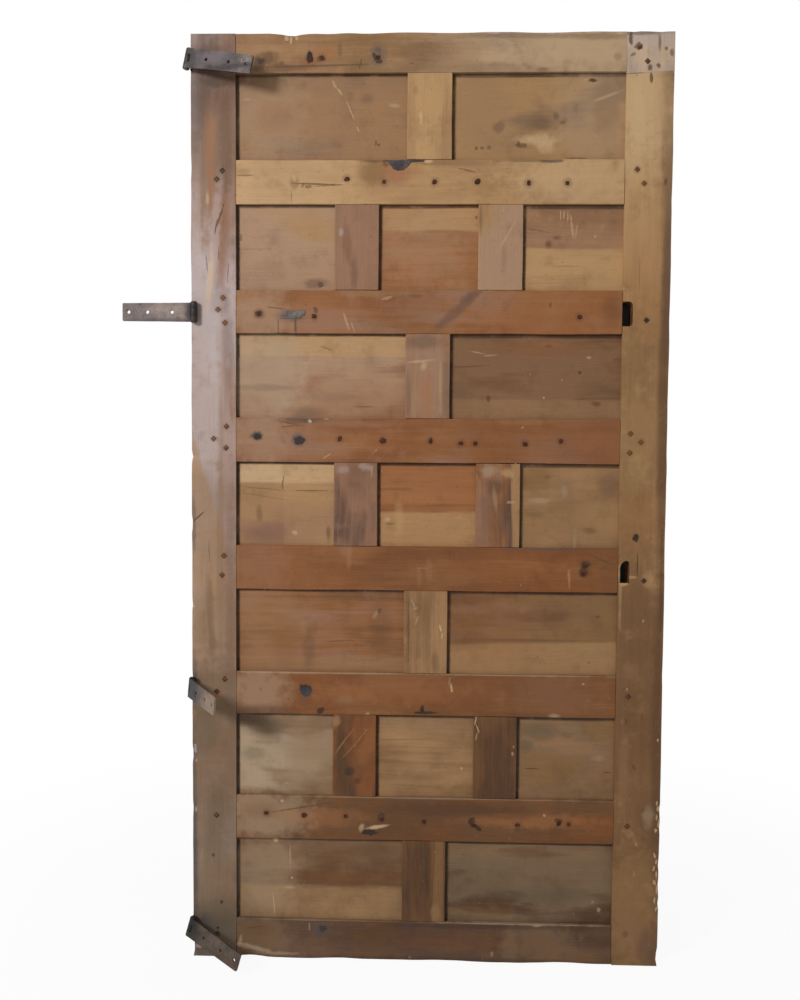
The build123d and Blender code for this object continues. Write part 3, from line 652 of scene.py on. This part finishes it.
rail_dents = {
    "top_rail": [(215, 2000, 46, 2.4), (205, 2000, 9, 1.8), (225, 2000, 8, 1.6), (300, 2000, 40, 1.0),
                 (380, 2000, 60, 1.4), (560, 2000, 80, 1.2), (760, 2000, 90, 1.0)],
    "rail_2": [(440, 1737, 34, 1.4), (765, 1737, 26, 1.6), (620, 1737, 60, 0.8)],
    "rail_4": [(250, 1190, 20, 1.2), (700, 1094, 90, 0.9)],
    "bottom_rail": [(130, 0, 50, 2.4), (320, 0, 60, 1.4), (560, 0, 80, 1.2), (800, 0, 80, 1.4)],
}
for seed, (name, look) in enumerate(rail_looks.items(), start=10):
    look["marks"] = look["marks"] + halos(name, "rail_nails", "umber", 9, 0.4)
    worn(name, wood(name + "_wood", seed=seed, **look), dents=rail_dents.get(name, ()))


# Muntins
# Short uprights between the rails, stub tenoned into them, one or two to each row of panels. The
# grain runs up and down, and two of them show dark heartwood beside pale sapwood.
muntin_looks = {
    "muntin_1_1": dict(
        tones=("straw", "honey", "honey"),
        marks=[
            stain("olive", 478, 1880, 5, 9, 0.4), stain("cream", 490, 1825, 3, 12, 0.5),
            stain("tan", 545, 1780, 10, 120, 0.4),
        ],
    ),
    "muntin_2_1": dict(
        tones=("mauve", "mauve", "clay"), streaks=0.6,
        marks=[
            stain("umber", 335, 1560, 9, 40, 0.35, 6), stain("umber", 350, 1500, 8, 34, 0.4),
            stain("lilac", 322, 1585, 5, 8, 0.5),
        ],
    ),
    "muntin_2_2": dict(
        tones=("straw", "khaki", "khaki"), streaks=0.3,
        marks=[
            scar("cream", 676, 1580, 1.3, 40, 0.33, -30), stain("clay", 668, 1530, 5, 26, 0.4),
            stain("umber", 618, 1615, 4, 30, 0.4),
        ],
    ),
    "muntin_3_1": dict(
        tones=("mauve", "mauve", "chestnut"), streaks=1.0,
        marks=[
            stain("ash", 508, 1285, 80, 110, 0.25), stain("plum", 500, 1352, 40, 14, 0.5),
            stain("cream", 492, 1312, 26, 3, 0.4, 6), stain("cream", 500, 1302, 7, 9, 0.4),
            stain("copper", 508, 1235, 12, 55, 0.5), stain("plum", 466, 1240, 6, 60, 0.4),
            stain("honey", 536, 1260, 3, 50, 0.4), stain("plum", 548, 1260, 7, 70, 0.4),
        ],
    ),
    "muntin_4_1": dict(
        tones=("plum", "mauve", "mauve"),
        zones=[zone("plum", "right", 320, 0.25, 60)],
        marks=[
            stain("lilac", 330, 1080, 12, 8, 0.4), stain("umber", 330, 1010, 8, 30, 0.3),
            stain("lilac", 378, 1085, 14, 8, 0.5), scar("cream", 390, 1075, 2, 12, 0.26),
        ],
    ),
    "muntin_4_2": dict(
        tones=("plum", "chestnut", "mauve"), streaks=0.5,
        zones=[zone("straw", "right", 722, 0.9, 3, 0.03)],
        marks=[
            stain("umber", 655, 1045, 22, 16, 0.6), stain("plum", 650, 985, 24, 60, 0.35),
            stain("ash", 640, 1080, 16, 12, 0.5), stain("ash", 655, 1020, 4, 26, 0.35, 8),
            stain("honey", 682, 1075, 12, 9, 0.7), stain("tan", 618, 1060, 3, 20, 0.5, 20),
            scar("honey", 690, 1012, 10, 3, 0.6),
        ],
    ),
    "muntin_5_1": dict(
        tones=("olive", "tan", "straw"), streaks=0.8,
        zones=[zone("brown", "left", 474, 0.5, 5)],
        marks=[
            scar("cream", 541, 737, 2, 8, 0.7, 12), scar("cream", 545, 722, 1.6, 7, 0.6, -10),
            scar("cream", 482, 790, 1.5, 12, 0.33, 20), scar("cream", 490, 755, 1.5, 10, 0.33, -20),
            scar("cream", 486, 780, 6, 1.3, 0.33, 25), stain("brown", 510, 730, 9, 60, 0.4),
            scar("umber", 472, 730, 1.6, 70, 0.5), stain("umber", 530, 660, 8, 24, 0.4),
        ],
    ),
    "muntin_6_1": dict(
        tones=("umber", "russet", "russet"), streaks=0.3, dirt=0.9,
        marks=[
            stain("tan", 314, 530, 9, 16, 0.8, -25), stain("umber", 350, 440, 26, 24, 0.6),
            stain("chestnut", 380, 470, 16, 40, 0.5, -25), scar("tan", 335, 490, 1.4, 30, 0.5, -38),
            scar("tan", 352, 475, 1.3, 34, 0.45, -42), scar("tan", 322, 470, 1.3, 20, 0.4, -36),
            scar("tan", 372, 500, 1.2, 24, 0.35, -40), stain("soot", 345, 420, 9, 9, 0.6),
            stain("soot", 362, 400, 8, 7, 0.5),
        ],
    ),
    "muntin_6_2": dict(
        tones=("umber", "umber", "brown"),
        marks=[
            scar("cream", 619, 537, 1.6, 11, 0.6, -12), scar("cream", 624, 518, 1.4, 8, 0.5, 20),
            scar("cream", 621, 502, 1.6, 8, 0.4, -10), scar("ash", 702, 480, 2, 3, 0.6),
            scar("ash", 700, 465, 3, 4, 0.6), stain("brown", 612, 440, 6, 60, 0.35),
        ],
    ),
    "muntin_7_1": dict(
        tones=("umber", "brown", "russet"), streaks=0.7,
        zones=[zone("olive", "right", 526, 0.9, 3, -0.03), zone("soot", "right", 551, 0.4, 2)],
        marks=[
            stain("tan", 535, 110, 10, 18, 0.5), stain("soot", 517, 200, 6, 60, 0.4),
        ],
    ),
}
for seed, (name, look) in enumerate(muntin_looks.items(), start=30):
    worn(name, wood(name + "_wood", upright=True, seed=seed, **look))


# Panels
# Seventeen thin boards let into the grooves of their neighbours, flat on this face and raised and
# fielded at the back. Along their left and upper rims a dark strip is painted shade, standing in for
# the shadow that the frame throws into their recess under the lamp on the left.
panel_looks = {
    "panel_1_1": dict(
        tones=("clay", "tan", "tan"), streaks=0.3,
        zones=[zone("clay", "above", 1880, 0.5, 14), zone("mauve", "left", 330, 0.2, 60)],
        marks=[
            stain("ash", 160, 1840, 70, 100, 0.25), scar("cream", 305, 1897, 3, 11, 0.33, 30),
            scar("cream", 318, 1880, 3, 8, 0.39, 35), scar("cream", 340, 1842, 1.4, 24, 0.39, 24),
            scar("cream", 356, 1803, 1.6, 6, 0.39, 20), stain("plum", 377, 1866, 14, 11, 0.4),
            stain("ash", 434, 1852, 12, 4, 0.6, -10), scar("umber", 395, 1774, 2.5, 6, 0.6),
            scar("umber", 401, 1770, 3, 3, 0.6), stain("ash", 119, 1866, 6, 2, 0.5),
            stain("chestnut", 180, 1830, 40, 30, 0.3),
        ],
    ),
    "panel_1_2": dict(
        tones=("clay", "straw", "straw"), streaks=0.3,
        zones=[zone("straw", "below", 1820, 0.35, 30)],
        marks=[
            stain("clay", 620, 1840, 60, 90, 0.35), stain("ash", 860, 1840, 80, 100, 0.35),
            scar("soot", 851, 1903, 8, 4, 0.85), scar("cream", 838, 1904, 8, 1.5, 0.33),
            stain("cream", 735, 1780, 36, 12, 0.55), stain("cream", 752, 1765, 16, 12, 0.4),
            scar("umber", 703, 1768, 12, 5, 0.7), scar("umber", 697, 1773, 4, 5, 0.5),
            stain("plum", 655, 1808, 10, 13, 0.5, -30), stain("plum", 745, 1815, 22, 14, 0.4),
            scar("umber", 608, 1762, 3, 4, 0.6), scar("umber", 620, 1763, 4, 3, 0.6),
            scar("umber", 635, 1764, 4, 4, 0.5), stain("clay", 880, 1840, 26, 50, 0.5),
            stain("umber", 775, 1829, 6, 8, 0.5, 20), stain("cream", 882, 1870, 30, 3, 0.35, 20),
            scar("umber", 820, 1740, 20, 3, 0.5), scar("umber", 790, 1816, 6, 3, 0.5),
        ],
    ),
    "panel_2_1": dict(
        tones=("straw", "khaki", "khaki"), streaks=0.2,
        zones=[zone("mauve", "below", 1520, 0.25, 20)],
        marks=[
            scar("umber", 278, 1475, 6, 6, 0.85), stain("plum", 268, 1478, 30, 10, 0.6),
            scar("umber", 106, 1575, 3, 8, 0.5), scar("umber", 140, 1551, 40, 1.2, 0.2),
        ],
    ),
    "panel_2_2": dict(
        tones=("chestnut", "copper", "tan"), streaks=0.7,
        zones=[zone("honey", "above", 1588, 0.85, 5), zone("mauve", "left", 440, 0.2, 30)],
        marks=[
            stain("khaki", 510, 1550, 80, 80, 0.3), stain("brown", 540, 1588, 50, 4, 0.4),
            scar("umber", 610, 1618, 3, 3, 0.6),
        ],
    ),
    "panel_2_3": dict(
        tones=("tan", "honey", "honey"),
        zones=[zone("mauve", "above", 1552, 0.85, 5), zone("brown", "above", 1590, 0.4, 30)],
        marks=[
            scar("cream", 788, 1622, 1.6, 10, 0.49), scar("cream", 795, 1624, 1.6, 9, 0.49),
            scar("cream", 803, 1618, 1.6, 12, 0.45), scar("cream", 812, 1600, 2.5, 26, 0.36, 8),
            scar("cream", 822, 1590, 2, 18, 0.26, -8), stain("umber", 763, 1562, 8, 9, 0.7, -30),
            stain("umber", 780, 1575, 8, 5, 0.5), scar("cream", 862, 1577, 2.5, 2.5, 0.52),
            scar("umber", 742, 1590, 24, 1.5, 0.4, -10), scar("umber", 800, 1515, 34, 1.4, 0.3),
        ],
    ),
    "panel_3_1": dict(
        tones=("mauve", "khaki", "khaki"), streaks=0.4,
        zones=[zone("honey", "above", 1322, 0.85, 4), zone("chestnut", "below", 1270, 0.5, 45)],
        marks=[
            stain("ash", 160, 1280, 80, 100, 0.6), scar("umber", 290, 1340, 12, 1.2, 0.5, -18),
            stain("plum", 160, 1255, 60, 7, 0.3), stain("plum", 300, 1235, 60, 9, 0.2),
            stain("umber", 370, 1215, 20, 2, 0.5), stain("plum", 250, 1200, 34, 14, 0.45),
            stain("mauve", 130, 1220, 30, 30, 0.3),
        ],
    ),
    "panel_3_2": dict(
        tones=("brown", "cocoa", "cocoa"), streaks=0.2,
        zones=[zone("tan", "below", 1232, 0.75, 4)],
        marks=[
            scar("cream", 615, 1332, 16, 1.6, 0.36, -10), scar("cream", 642, 1326, 16, 1.5, 0.36, 5),
            scar("umber", 600, 1302, 40, 1.5, 0.5, 3), stain("copper", 770, 1348, 26, 6, 0.5),
            stain("russet", 740, 1340, 110, 16, 0.3), stain("umber", 767, 1346, 8, 3, 0.5),
            scar("cream", 852, 1322, 5, 2.5, 0.39), scar("soot", 834, 1290, 3.5, 3.5, 0.6),
            scar("umber", 640, 1233, 4, 8, 0.7), stain("umber", 870, 1224, 9, 5, 0.6),
            scar("cream", 757, 1236, 3, 3, 0.39), scar("cream", 796, 1274, 2, 1.6, 0.33),
            scar("cream", 728, 1286, 2, 1.6, 0.33), scar("umber", 912, 1318, 8, 1.3, 0.5),
        ],
    ),
    "panel_4_1": dict(
        tones=("mauve", "tan", "straw"), streaks=0.6,
        zones=[zone("cream", "above", 1050, 0.8, 4), zone("honey", "right", 199, 0.35, 1.5)],
        marks=[
            scar("umber", 198, 1056, 1.2, 10, 0.6, -8), scar("umber", 196, 1045, 2, 12, 0.5),
            scar("umber", 150, 1037, 50, 1.1, 0.4, -5), scar("umber", 258, 1033, 40, 1.2, 0.6),
            scar("umber", 155, 1020, 50, 1.1, 0.3, -8), stain("plum", 160, 940, 44, 18, 0.55),
            stain("mauve", 180, 965, 90, 60, 0.35), stain("umber", 145, 985, 6, 18, 0.4),
            stain("cream", 222, 942, 7, 5, 0.5, -30), stain("plum", 296, 940, 5, 16, 0.6),
            stain("straw", 235, 985, 30, 14, 0.3),
        ],
    ),
    "panel_4_2": dict(
        tones=("russet", "chestnut", "copper"), streaks=0.6, dirt=0.2,
        zones=[zone("honey", "below", 988, 0.75, 4), zone("copper", "above", 1040, 0.35, 10)],
        marks=[
            stain("honey", 448, 975, 10, 34, 0.45), stain("cream", 425, 972, 8, 5, 0.4),
            scar("umber", 430, 962, 12, 1.4, 0.4), stain("umber", 560, 1004, 60, 3, 0.3),
            stain("umber", 440, 1038, 40, 3, 0.3),
        ],
    ),
    "panel_4_3": dict(
        tones=("olive", "tan", "straw"), streaks=0.2,
        zones=[zone("straw", "below", 1000, 0.35, 20)],
        marks=[
            stain("olive", 875, 1000, 60, 100, 0.35), stain("ash", 805, 1036, 7, 12, 0.55),
            stain("clay", 808, 1040, 22, 26, 0.35), stain("ash", 752, 1016, 20, 5, 0.4),
            stain("plum", 900, 1050, 20, 26, 0.4), stain("umber", 860, 952, 12, 6, 0.4),
            stain("umber", 740, 985, 18, 6, 0.3), stain("umber", 768, 1066, 7, 5, 0.3),
            stain("ash", 828, 920, 3, 30, 0.3),
        ],
    ),
    "panel_5_1": dict(
        tones=("brown", "chestnut", "mauve"), streaks=0.6,
        zones=[zone("tan", "below", 672, 0.6, 6)],
        marks=[
            stain("tan", 170, 740, 80, 90, 0.35), stain("ash", 400, 765, 4, 10, 0.6, -30),
            scar("umber", 408, 772, 5, 5, 0.6), scar("umber", 320, 705, 30, 1.1, 0.5, 3),
            stain("umber", 410, 740, 24, 60, 0.25), stain("tan", 243, 735, 6, 20, 0.4),
            stain("plum", 255, 680, 14, 40, 0.4), stain("russet", 205, 700, 30, 40, 0.35),
        ],
    ),
    "panel_5_2": dict(
        tones=("brown", "cocoa", "olive"), streaks=0.2,
        zones=[zone("straw", "below", 700, 0.85, 4, -0.025)],
        marks=[
            stain("copper", 650, 740, 100, 80, 0.25), scar("umber", 880, 765, 6, 3, 0.5),
            stain("umber", 700, 712, 120, 3, 0.35), stain("umber", 590, 700, 40, 12, 0.25),
            scar("umber", 863, 665, 3, 3, 0.4), stain("mauve", 640, 780, 90, 10, 0.3),
            scar("russet", 740, 735, 60, 1.2, 0.4),
        ],
    ),
    "panel_6_1": dict(
        tones=("clay", "ash", "ash"), streaks=0.2, dirt=0.6,
        zones=[zone("tan", "right", 230, 0.35, 40)],
        marks=[
            stain("clay", 262, 455, 50, 100, 0.45), stain("soot", 128, 530, 40, 14, 0.5),
            stain("moss", 170, 510, 40, 16, 0.4), stain("moss", 135, 455, 26, 16, 0.4),
            stain("ash", 140, 390, 40, 20, 0.4), scar("cream", 205, 388, 7, 1.5, 0.26, 30),
            stain("ash", 250, 430, 26, 16, 0.3),
        ],
    ),
    "panel_6_2": dict(
        tones=("olive", "tan", "straw"), dirt=0.3,
        zones=[zone("clay", "above", 505, 0.4, 12)],
        marks=[
            scar("umber", 460, 490, 60, 1.1, 0.3, 2), scar("cream", 590, 428, 2.5, 2.5, 0.52),
            stain("brown", 430, 460, 60, 6, 0.25), stain("honey", 560, 400, 30, 12, 0.3),
        ],
    ),
    "panel_6_3": dict(
        tones=("olive", "clay", "tan"), streaks=0.2, dirt=0.6,
        zones=[zone("olive", "below", 470, 0.4, 20)],
        marks=[
            stain("moss", 760, 510, 44, 18, 0.5), scar("soot", 742, 430, 14, 1.4, 0.5),
            scar("soot", 905, 424, 8, 1.4, 0.5), stain("moss", 730, 480, 14, 14, 0.5),
            stain("umber", 820, 505, 14, 6, 0.3), stain("ash", 885, 455, 12, 6, 0.3),
        ],
    ),
    "panel_7_1": dict(
        tones=("brown", "clay", "clay"), streaks=0.2,
        zones=[zone("straw", "below", 158, 0.85, 8), zone("brown", "above", 205, 0.5, 30)],
        marks=[
            stain("ash", 155, 190, 70, 100, 0.35), scar("cream", 214, 225, 1.4, 26, 0.29),
            scar("cream", 218, 176, 3, 3.5, 0.52), scar("cream", 178, 118, 1.6, 22, 0.39, 5),
            stain("cream", 214, 155, 10, 3, 0.3), stain("russet", 330, 180, 90, 12, 0.3),
            scar("cream", 182, 262, 5, 6, 0.62), stain("umber", 380, 240, 60, 14, 0.25),
        ],
    ),
    "panel_7_2": dict(
        tones=("umber", "bark", "bark"), streaks=0.2, dirt=0.7,
        zones=[zone("tan", "above", 232, 0.3, 10)],
        marks=[
            scar("ash", 893, 118, 4, 5, 0.6), scar("umber", 735, 128, 14, 5, 0.5),
            stain("moss", 760, 150, 120, 16, 0.4), scar("ash", 880, 136, 3, 3, 0.4),
            stain("umber", 800, 240, 30, 5, 0.3), stain("olive", 640, 110, 60, 12, 0.3),
        ],
    ),
}
# What shows of a panel starts a tongue's depth inside its own edge, in millimetres.
tongue = 9
for seed, (name, look) in enumerate(panel_looks.items(), start=50):
    low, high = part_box(name)
    left, top = (low.x - hinge_edge) * 1000 + tongue, high.z * 1000 - tongue
    # Painted shade: two dark strips on each panel's left and upper rims, where the frame shades the recess.
    look["zones"] = look.get("zones", []) + [
        zone("recess_shade", "left", left + 5.5, 0.97, 2.0),
        zone("recess_shade", "above", top - 4.5 - left / 200, 0.9, 2.2),
    ]
    worn(name, wood(name + "_wood", seed=seed, **look), wave=0.0006)


# Pegs
# Square oak pegs driven on the diamond through the tenons and cut off flush, black with age.
peg_finish = wood("peg_wood", ("soot", "umber", "russet"), seed=80, dirt=0.5)
for name in ("hinge_stile_pegs", "lock_stile_pegs"):
    worn(name, peg_finish, wear=0.0022, spacing=0.02, wave=0.0004)


# Nails
# The cut ends of square nails, hammered over and rusted into ragged dark lumps a little proud of
# the rails. One on the sixth rail has a broad blue black head, and two more are larger.
def iron(name, dark, middle, light, scale=70.0, metal=0.3, rough=0.55, zones=()):
    """Rusted wrought iron in three tones, pitted, with soft spots of other colours."""
    finish = Finish(name)
    cloud = finish.noise(finish.place, scale * 0.35, 4.0, 0.6)
    pits = finish.noise(finish.place, scale * 4.0, 3.0, 0.6)
    stops = [(0.36, tone(dark)), (0.5, tone(middle)), (0.64, tone(light))]
    colour = finish.add("ShaderNodeValToRGB", [cloud * 0.7 + pits * 0.3], stops=stops)
    for code, u, z, wide, high, strength in zones:
        mask = finish.spot(u, z, wide, high, soft=0.6, strength=strength)
        colour = finish.mix(mask, colour, tone(code))
    rust = finish.step(finish.noise(finish.place, scale, 4.0, 0.65), 0.55, 0.7)
    colour = finish.mix(rust * 0.45, colour, tone("5d3a28"))
    rough = rough + rust * 0.25 + (pits - 0.5) * 0.2
    return finish.surface(colour, rough, cloud * 0.5 + pits * 0.5, 0.0007, metal)


def lump(shape, x, y, z, wide, high, proud, turn, seed):
    """A ragged low lump on the plain face, made from a flattened cone."""
    made = bmesh.ops.create_cone(shape, cap_ends=True, cap_tris=True, segments=11,
                                 radius1=1.0, radius2=0.62, depth=1.0)["verts"]
    bmesh.ops.scale(shape, vec=(wide / 2000, high / 2000, (proud + 1.2) / 1000), verts=made)
    bmesh.ops.rotate(shape, cent=(0, 0, 0), matrix=Matrix.Rotation(math.radians(turn), 3, "Z"), verts=made)
    for vert in made:
        ragged = 1 + 0.55 * noise.noise(vert.co * 330.0 + Vector((seed * 7.7, 0, 0)))
        vert.co.x *= ragged
        vert.co.y *= ragged
    bmesh.ops.rotate(shape, cent=(0, 0, 0), matrix=Matrix.Rotation(math.radians(90), 3, "X"), verts=made)
    bmesh.ops.translate(shape, vec=(x, y + 0.0006 - proud / 2000, z), verts=made)


nail_shape = bmesh.new()
nail_shape.from_mesh(nodes["rail_nails"].data)
bmesh.ops.remove_doubles(nail_shape, verts=nail_shape.verts, dist=1e-6)
# The places of the larger ends, with their widths and heights.
large_ends = {(142, 1149): (20, 15), (234, 1141): (27, 22), (254, 1950): (15, 26), (414, 1142): (19, 14),
              (248, 599): (26, 24), (388, 320): (12, 12), (616, 306): (14, 10),
              (155, 327): (14, 12), (231, 325): (15, 12), (315, 322): (14, 13)}
for seed, (x, y, z) in enumerate(pin_places["rail_nails"]):
    u = (x - hinge_edge) * 1000
    near = [size for (mark, level), size in large_ends.items() if math.hypot(mark - u, level - z * 1000) < 6]
    wide, high = near[0] if near else (13.0 + 3.0 * math.sin(seed * 2.3), 10.5 + 2.5 * math.cos(seed * 3.1))
    lump(nail_shape, x, y, z, wide, high, 0.5, 0.0 if near else seed * 47.0, seed)
nail_zones = [
    ("2b2725", 142, 1149, 16, 14, 0.9), ("332e2b", 234, 1141, 18, 16, 0.9),
    ("2a1f20", 254, 1950, 14, 16, 0.7),
]
nail_iron = iron("rusty_nails", "20100a", "3f1f12", "63341c", 240.0, 0.0, 0.75, nail_zones)
placed(nail_shape, "rail_nail_ends", nail_iron, node="rail_nails")


# Old repairs
# A plug of dark putty on the upper edge of the second rail, an iron cramp let into the third, and
# the broad blue black nail head on the sixth.
def plug(name, outline, proud, finish):
    """A low plate with a ragged outline, pressed into the face."""
    shape = bmesh.new()
    verts = [shape.verts.new((hinge_edge + u / 1000, face + 0.002, z / 1000)) for u, z in outline]
    shape.faces.new(verts)
    bmesh.ops.subdivide_edges(shape, edges=shape.edges[:], cuts=3, smooth=0.4)
    made = bmesh.ops.extrude_face_region(shape, geom=shape.faces[:])["geom"]
    top = [item for item in made if isinstance(item, bmesh.types.BMVert)]
    bmesh.ops.translate(shape, vec=(0, -0.002 - proud / 1000, 0), verts=top)
    middle = sum((vert.co for vert in top), Vector()) / len(top)
    bmesh.ops.scale(shape, vec=(0.94, 1.0, 0.9), space=Matrix.Translation(-middle), verts=top)
    bmesh.ops.triangulate(shape, faces=shape.faces[:])
    for vert in shape.verts:
        vert.co.x += 0.0012 * noise.noise(vert.co * 150.0)
        vert.co.z += 0.0012 * noise.noise(vert.co * 150.0 + Vector((9, 0, 0)))
    bmesh.ops.recalc_face_normals(shape, faces=shape.faces[:])
    placed(shape, name, finish)


putty_outline = [(414, 1736), (470, 1736), (502, 1736), (497, 1733), (470, 1731), (463, 1722), (453, 1714),
                 (441, 1713), (431, 1718), (424, 1727)]
cramp_outline = [(192, 1400), (190, 1407), (205, 1409), (206, 1419), (222, 1415), (228, 1420), (248, 1419),
                 (246, 1409), (236, 1407), (237, 1401), (212, 1402)]
head_outline = [(236, 611), (248, 608), (258, 609), (262, 599), (259, 589), (249, 583), (240, 588),
                (235, 599)]
putty = iron("putty", "2a2627", "403a3b", "5c5250", 90.0, 0.0, 0.7)
cramp = iron("cramp_iron", "3b3a3a", "5a5654", "7d7266", 160.0, 0.2, 0.6)
head = iron("blue_nail_head", "232428", "34353a", "4d4c50", 120.0, 0.2, 0.6)
plug("rail_2_putty", putty_outline, 0.4, putty)
plug("rail_3_cramp", cramp_outline, 0.5, cramp)
plug("rail_6_nail_head", head_outline, 1.2, head)


# Strap hinges
# Four hand forged hinges: a tapered strap with three nail holes, rolled round a riveted pin, and a
# leaf let into the stile's edge with three countersunk screws. Each strap has rusted in its own way.
# The near black spot at the hinge edge in each hinge's zones covers the knuckles: blacker iron, with painted
# shade for the barrel's curve turned from the lamp.
hinge_looks = {
    "hinge_1": dict(
        dark="2a2524", middle="463e3d", light="6a5c5c",
        zones=[
            ("5b4f54", 60, 1936, 34, 12, 0.6), ("201c1b", 90, 1914, 80, 5, 0.7),
            ("5a5a4a", 140, 1950, 26, 26, 0.55), ("252321", 3, 1944, 12, 40, 0.8),
            ("a79c90", 66, 1955, 5, 4, 0.8),
        ],
    ),
    "hinge_2": dict(
        dark="4c4442", middle="665a56", light="82736b",
        zones=[("1c1a1a", 6, 1414, 16, 40, 0.92), ("3c3431", -60, 1394, 120, 6, 0.6)],
    ),
    "hinge_3": dict(
        dark="3d312a", middle="6b5747", light="8b7663",
        zones=[("1b1b20", 4, 603, 26, 60, 0.95), ("8a7562", 84, 584, 40, 40, 0.75)],
    ),
    "hinge_4": dict(
        dark="302a22", middle="4a4036", light="615246",
        zones=[("191c1a", -2, 84, 18, 34, 0.95), ("5c3a2e", 112, -14, 50, 40, 0.8)],
    ),
}
for name, look in hinge_looks.items():
    finish = iron(name + "_iron", metal=0.25, rough=0.5, **look)
    worn(name + "_strap", finish, name, wear=0.0005, spacing=0.02, wave=0.0003)
    worn(name + "_pin", finish, name, wear=0.0003, spacing=0.02, wave=0.0001)
    worn(name + "_edge_leaf", finish, wear=0.0005, spacing=0.02, wave=0.0002)
screw_finish = iron("screw_iron", "3a332f", "5a4f48", "7a6e66", 200.0, 0.3, 0.5)
worn("hinge_screws", screw_finish, wear=0.0003, spacing=0.05, wave=0.0001)


# Studio
# A pale floor that runs off to white, one large soft lamp high on the left and even fill light.
floor_mesh = bpy.data.meshes.new("studio_floor")
floor_shape = bmesh.new()
bmesh.ops.create_grid(floor_shape, x_segments=1, y_segments=1, size=40.0)
floor_shape.to_mesh(floor_mesh)
floor_shape.free()
floor = bpy.data.objects.new("studio_floor", floor_mesh)
bpy.context.scene.collection.objects.link(floor)
# The floor is plain white to the camera and in reflections, and pale and matt to all other light.
ground = Finish("studio_floor")
path = ground.add("ShaderNodeLightPath").socket.node
rays = ("Is Camera Ray", "Is Glossy Ray", "Is Transmission Ray")
seen = [Socket(ground, path.outputs[key]) for key in rays]
distance = ground.add("ShaderNodeVectorMath", [ground.place], output="Value", operation="LENGTH")
white = ground.step(distance, 0.5, 2.0) * 0.07 + 0.93
diffuse = ground.add("ShaderNodeBsdfDiffuse", {"Color": (0.92, 0.92, 0.92, 1.0)})
light = ground.add("ShaderNodeEmission", {"Color": (1.0, 1.0, 1.0, 1.0), "Strength": 1.0})
share = (seen[0] + seen[1] + seen[2]) * white
ground.add("ShaderNodeOutputMaterial", [ground.add("ShaderNodeMixShader", [share, diffuse, light])])
floor_mesh.materials.append(ground.material)

# The camera sees plain white beyond the floor, while the leaf gets an even fill.
world = bpy.data.worlds.new("studio")
bpy.context.scene.world = world
world.use_nodes = True
fill_light = 0.31
sky = Wiring(world.node_tree)
path = sky.add("ShaderNodeLightPath").socket.node
direct = [Socket(sky, path.outputs[key]) for key in ("Is Camera Ray", "Is Glossy Ray")]
plain_view = sky.add("ShaderNodeMath", direct, operation="ADD", use_clamp=True)
level = sky.add("ShaderNodeMapRange", {"Value": plain_view, "To Min": fill_light, "To Max": 1.0})
background = sky.add("ShaderNodeBackground", {"Color": (1.0, 1.0, 1.0, 1.0), "Strength": level})
sky.add("ShaderNodeOutputWorld", [background])

lamp_data = bpy.data.lights.new("window_lamp", "AREA")
lamp_data.shape = "DISK"
lamp_data.size = 1.1
lamp_data.energy = 142.0
lamp = bpy.data.objects.new("window_lamp", lamp_data)
lamp.location = (-2.7, -3.3, 2.75)
lamp.rotation_euler = (Vector((0, 0, 1.1)) - lamp.location).to_track_quat("-Z", "Y").to_euler()
bpy.context.scene.collection.objects.link(lamp)

# The camera stands where a fit to the corners and joints of the leaf puts it.
camera_data = bpy.data.cameras.new("camera")
camera_data.lens = 36.0
camera_data.sensor_width = 36.0
camera = bpy.data.objects.new("camera", camera_data)
camera.location = (0.0081, -2.1708, 1.1204)
camera.rotation_euler = (math.radians(87.19), math.radians(-0.4), math.radians(1.797))
bpy.context.scene.collection.objects.link(camera)
bpy.context.scene.camera = camera
bpy.context.scene.view_settings.view_transform = "Standard"
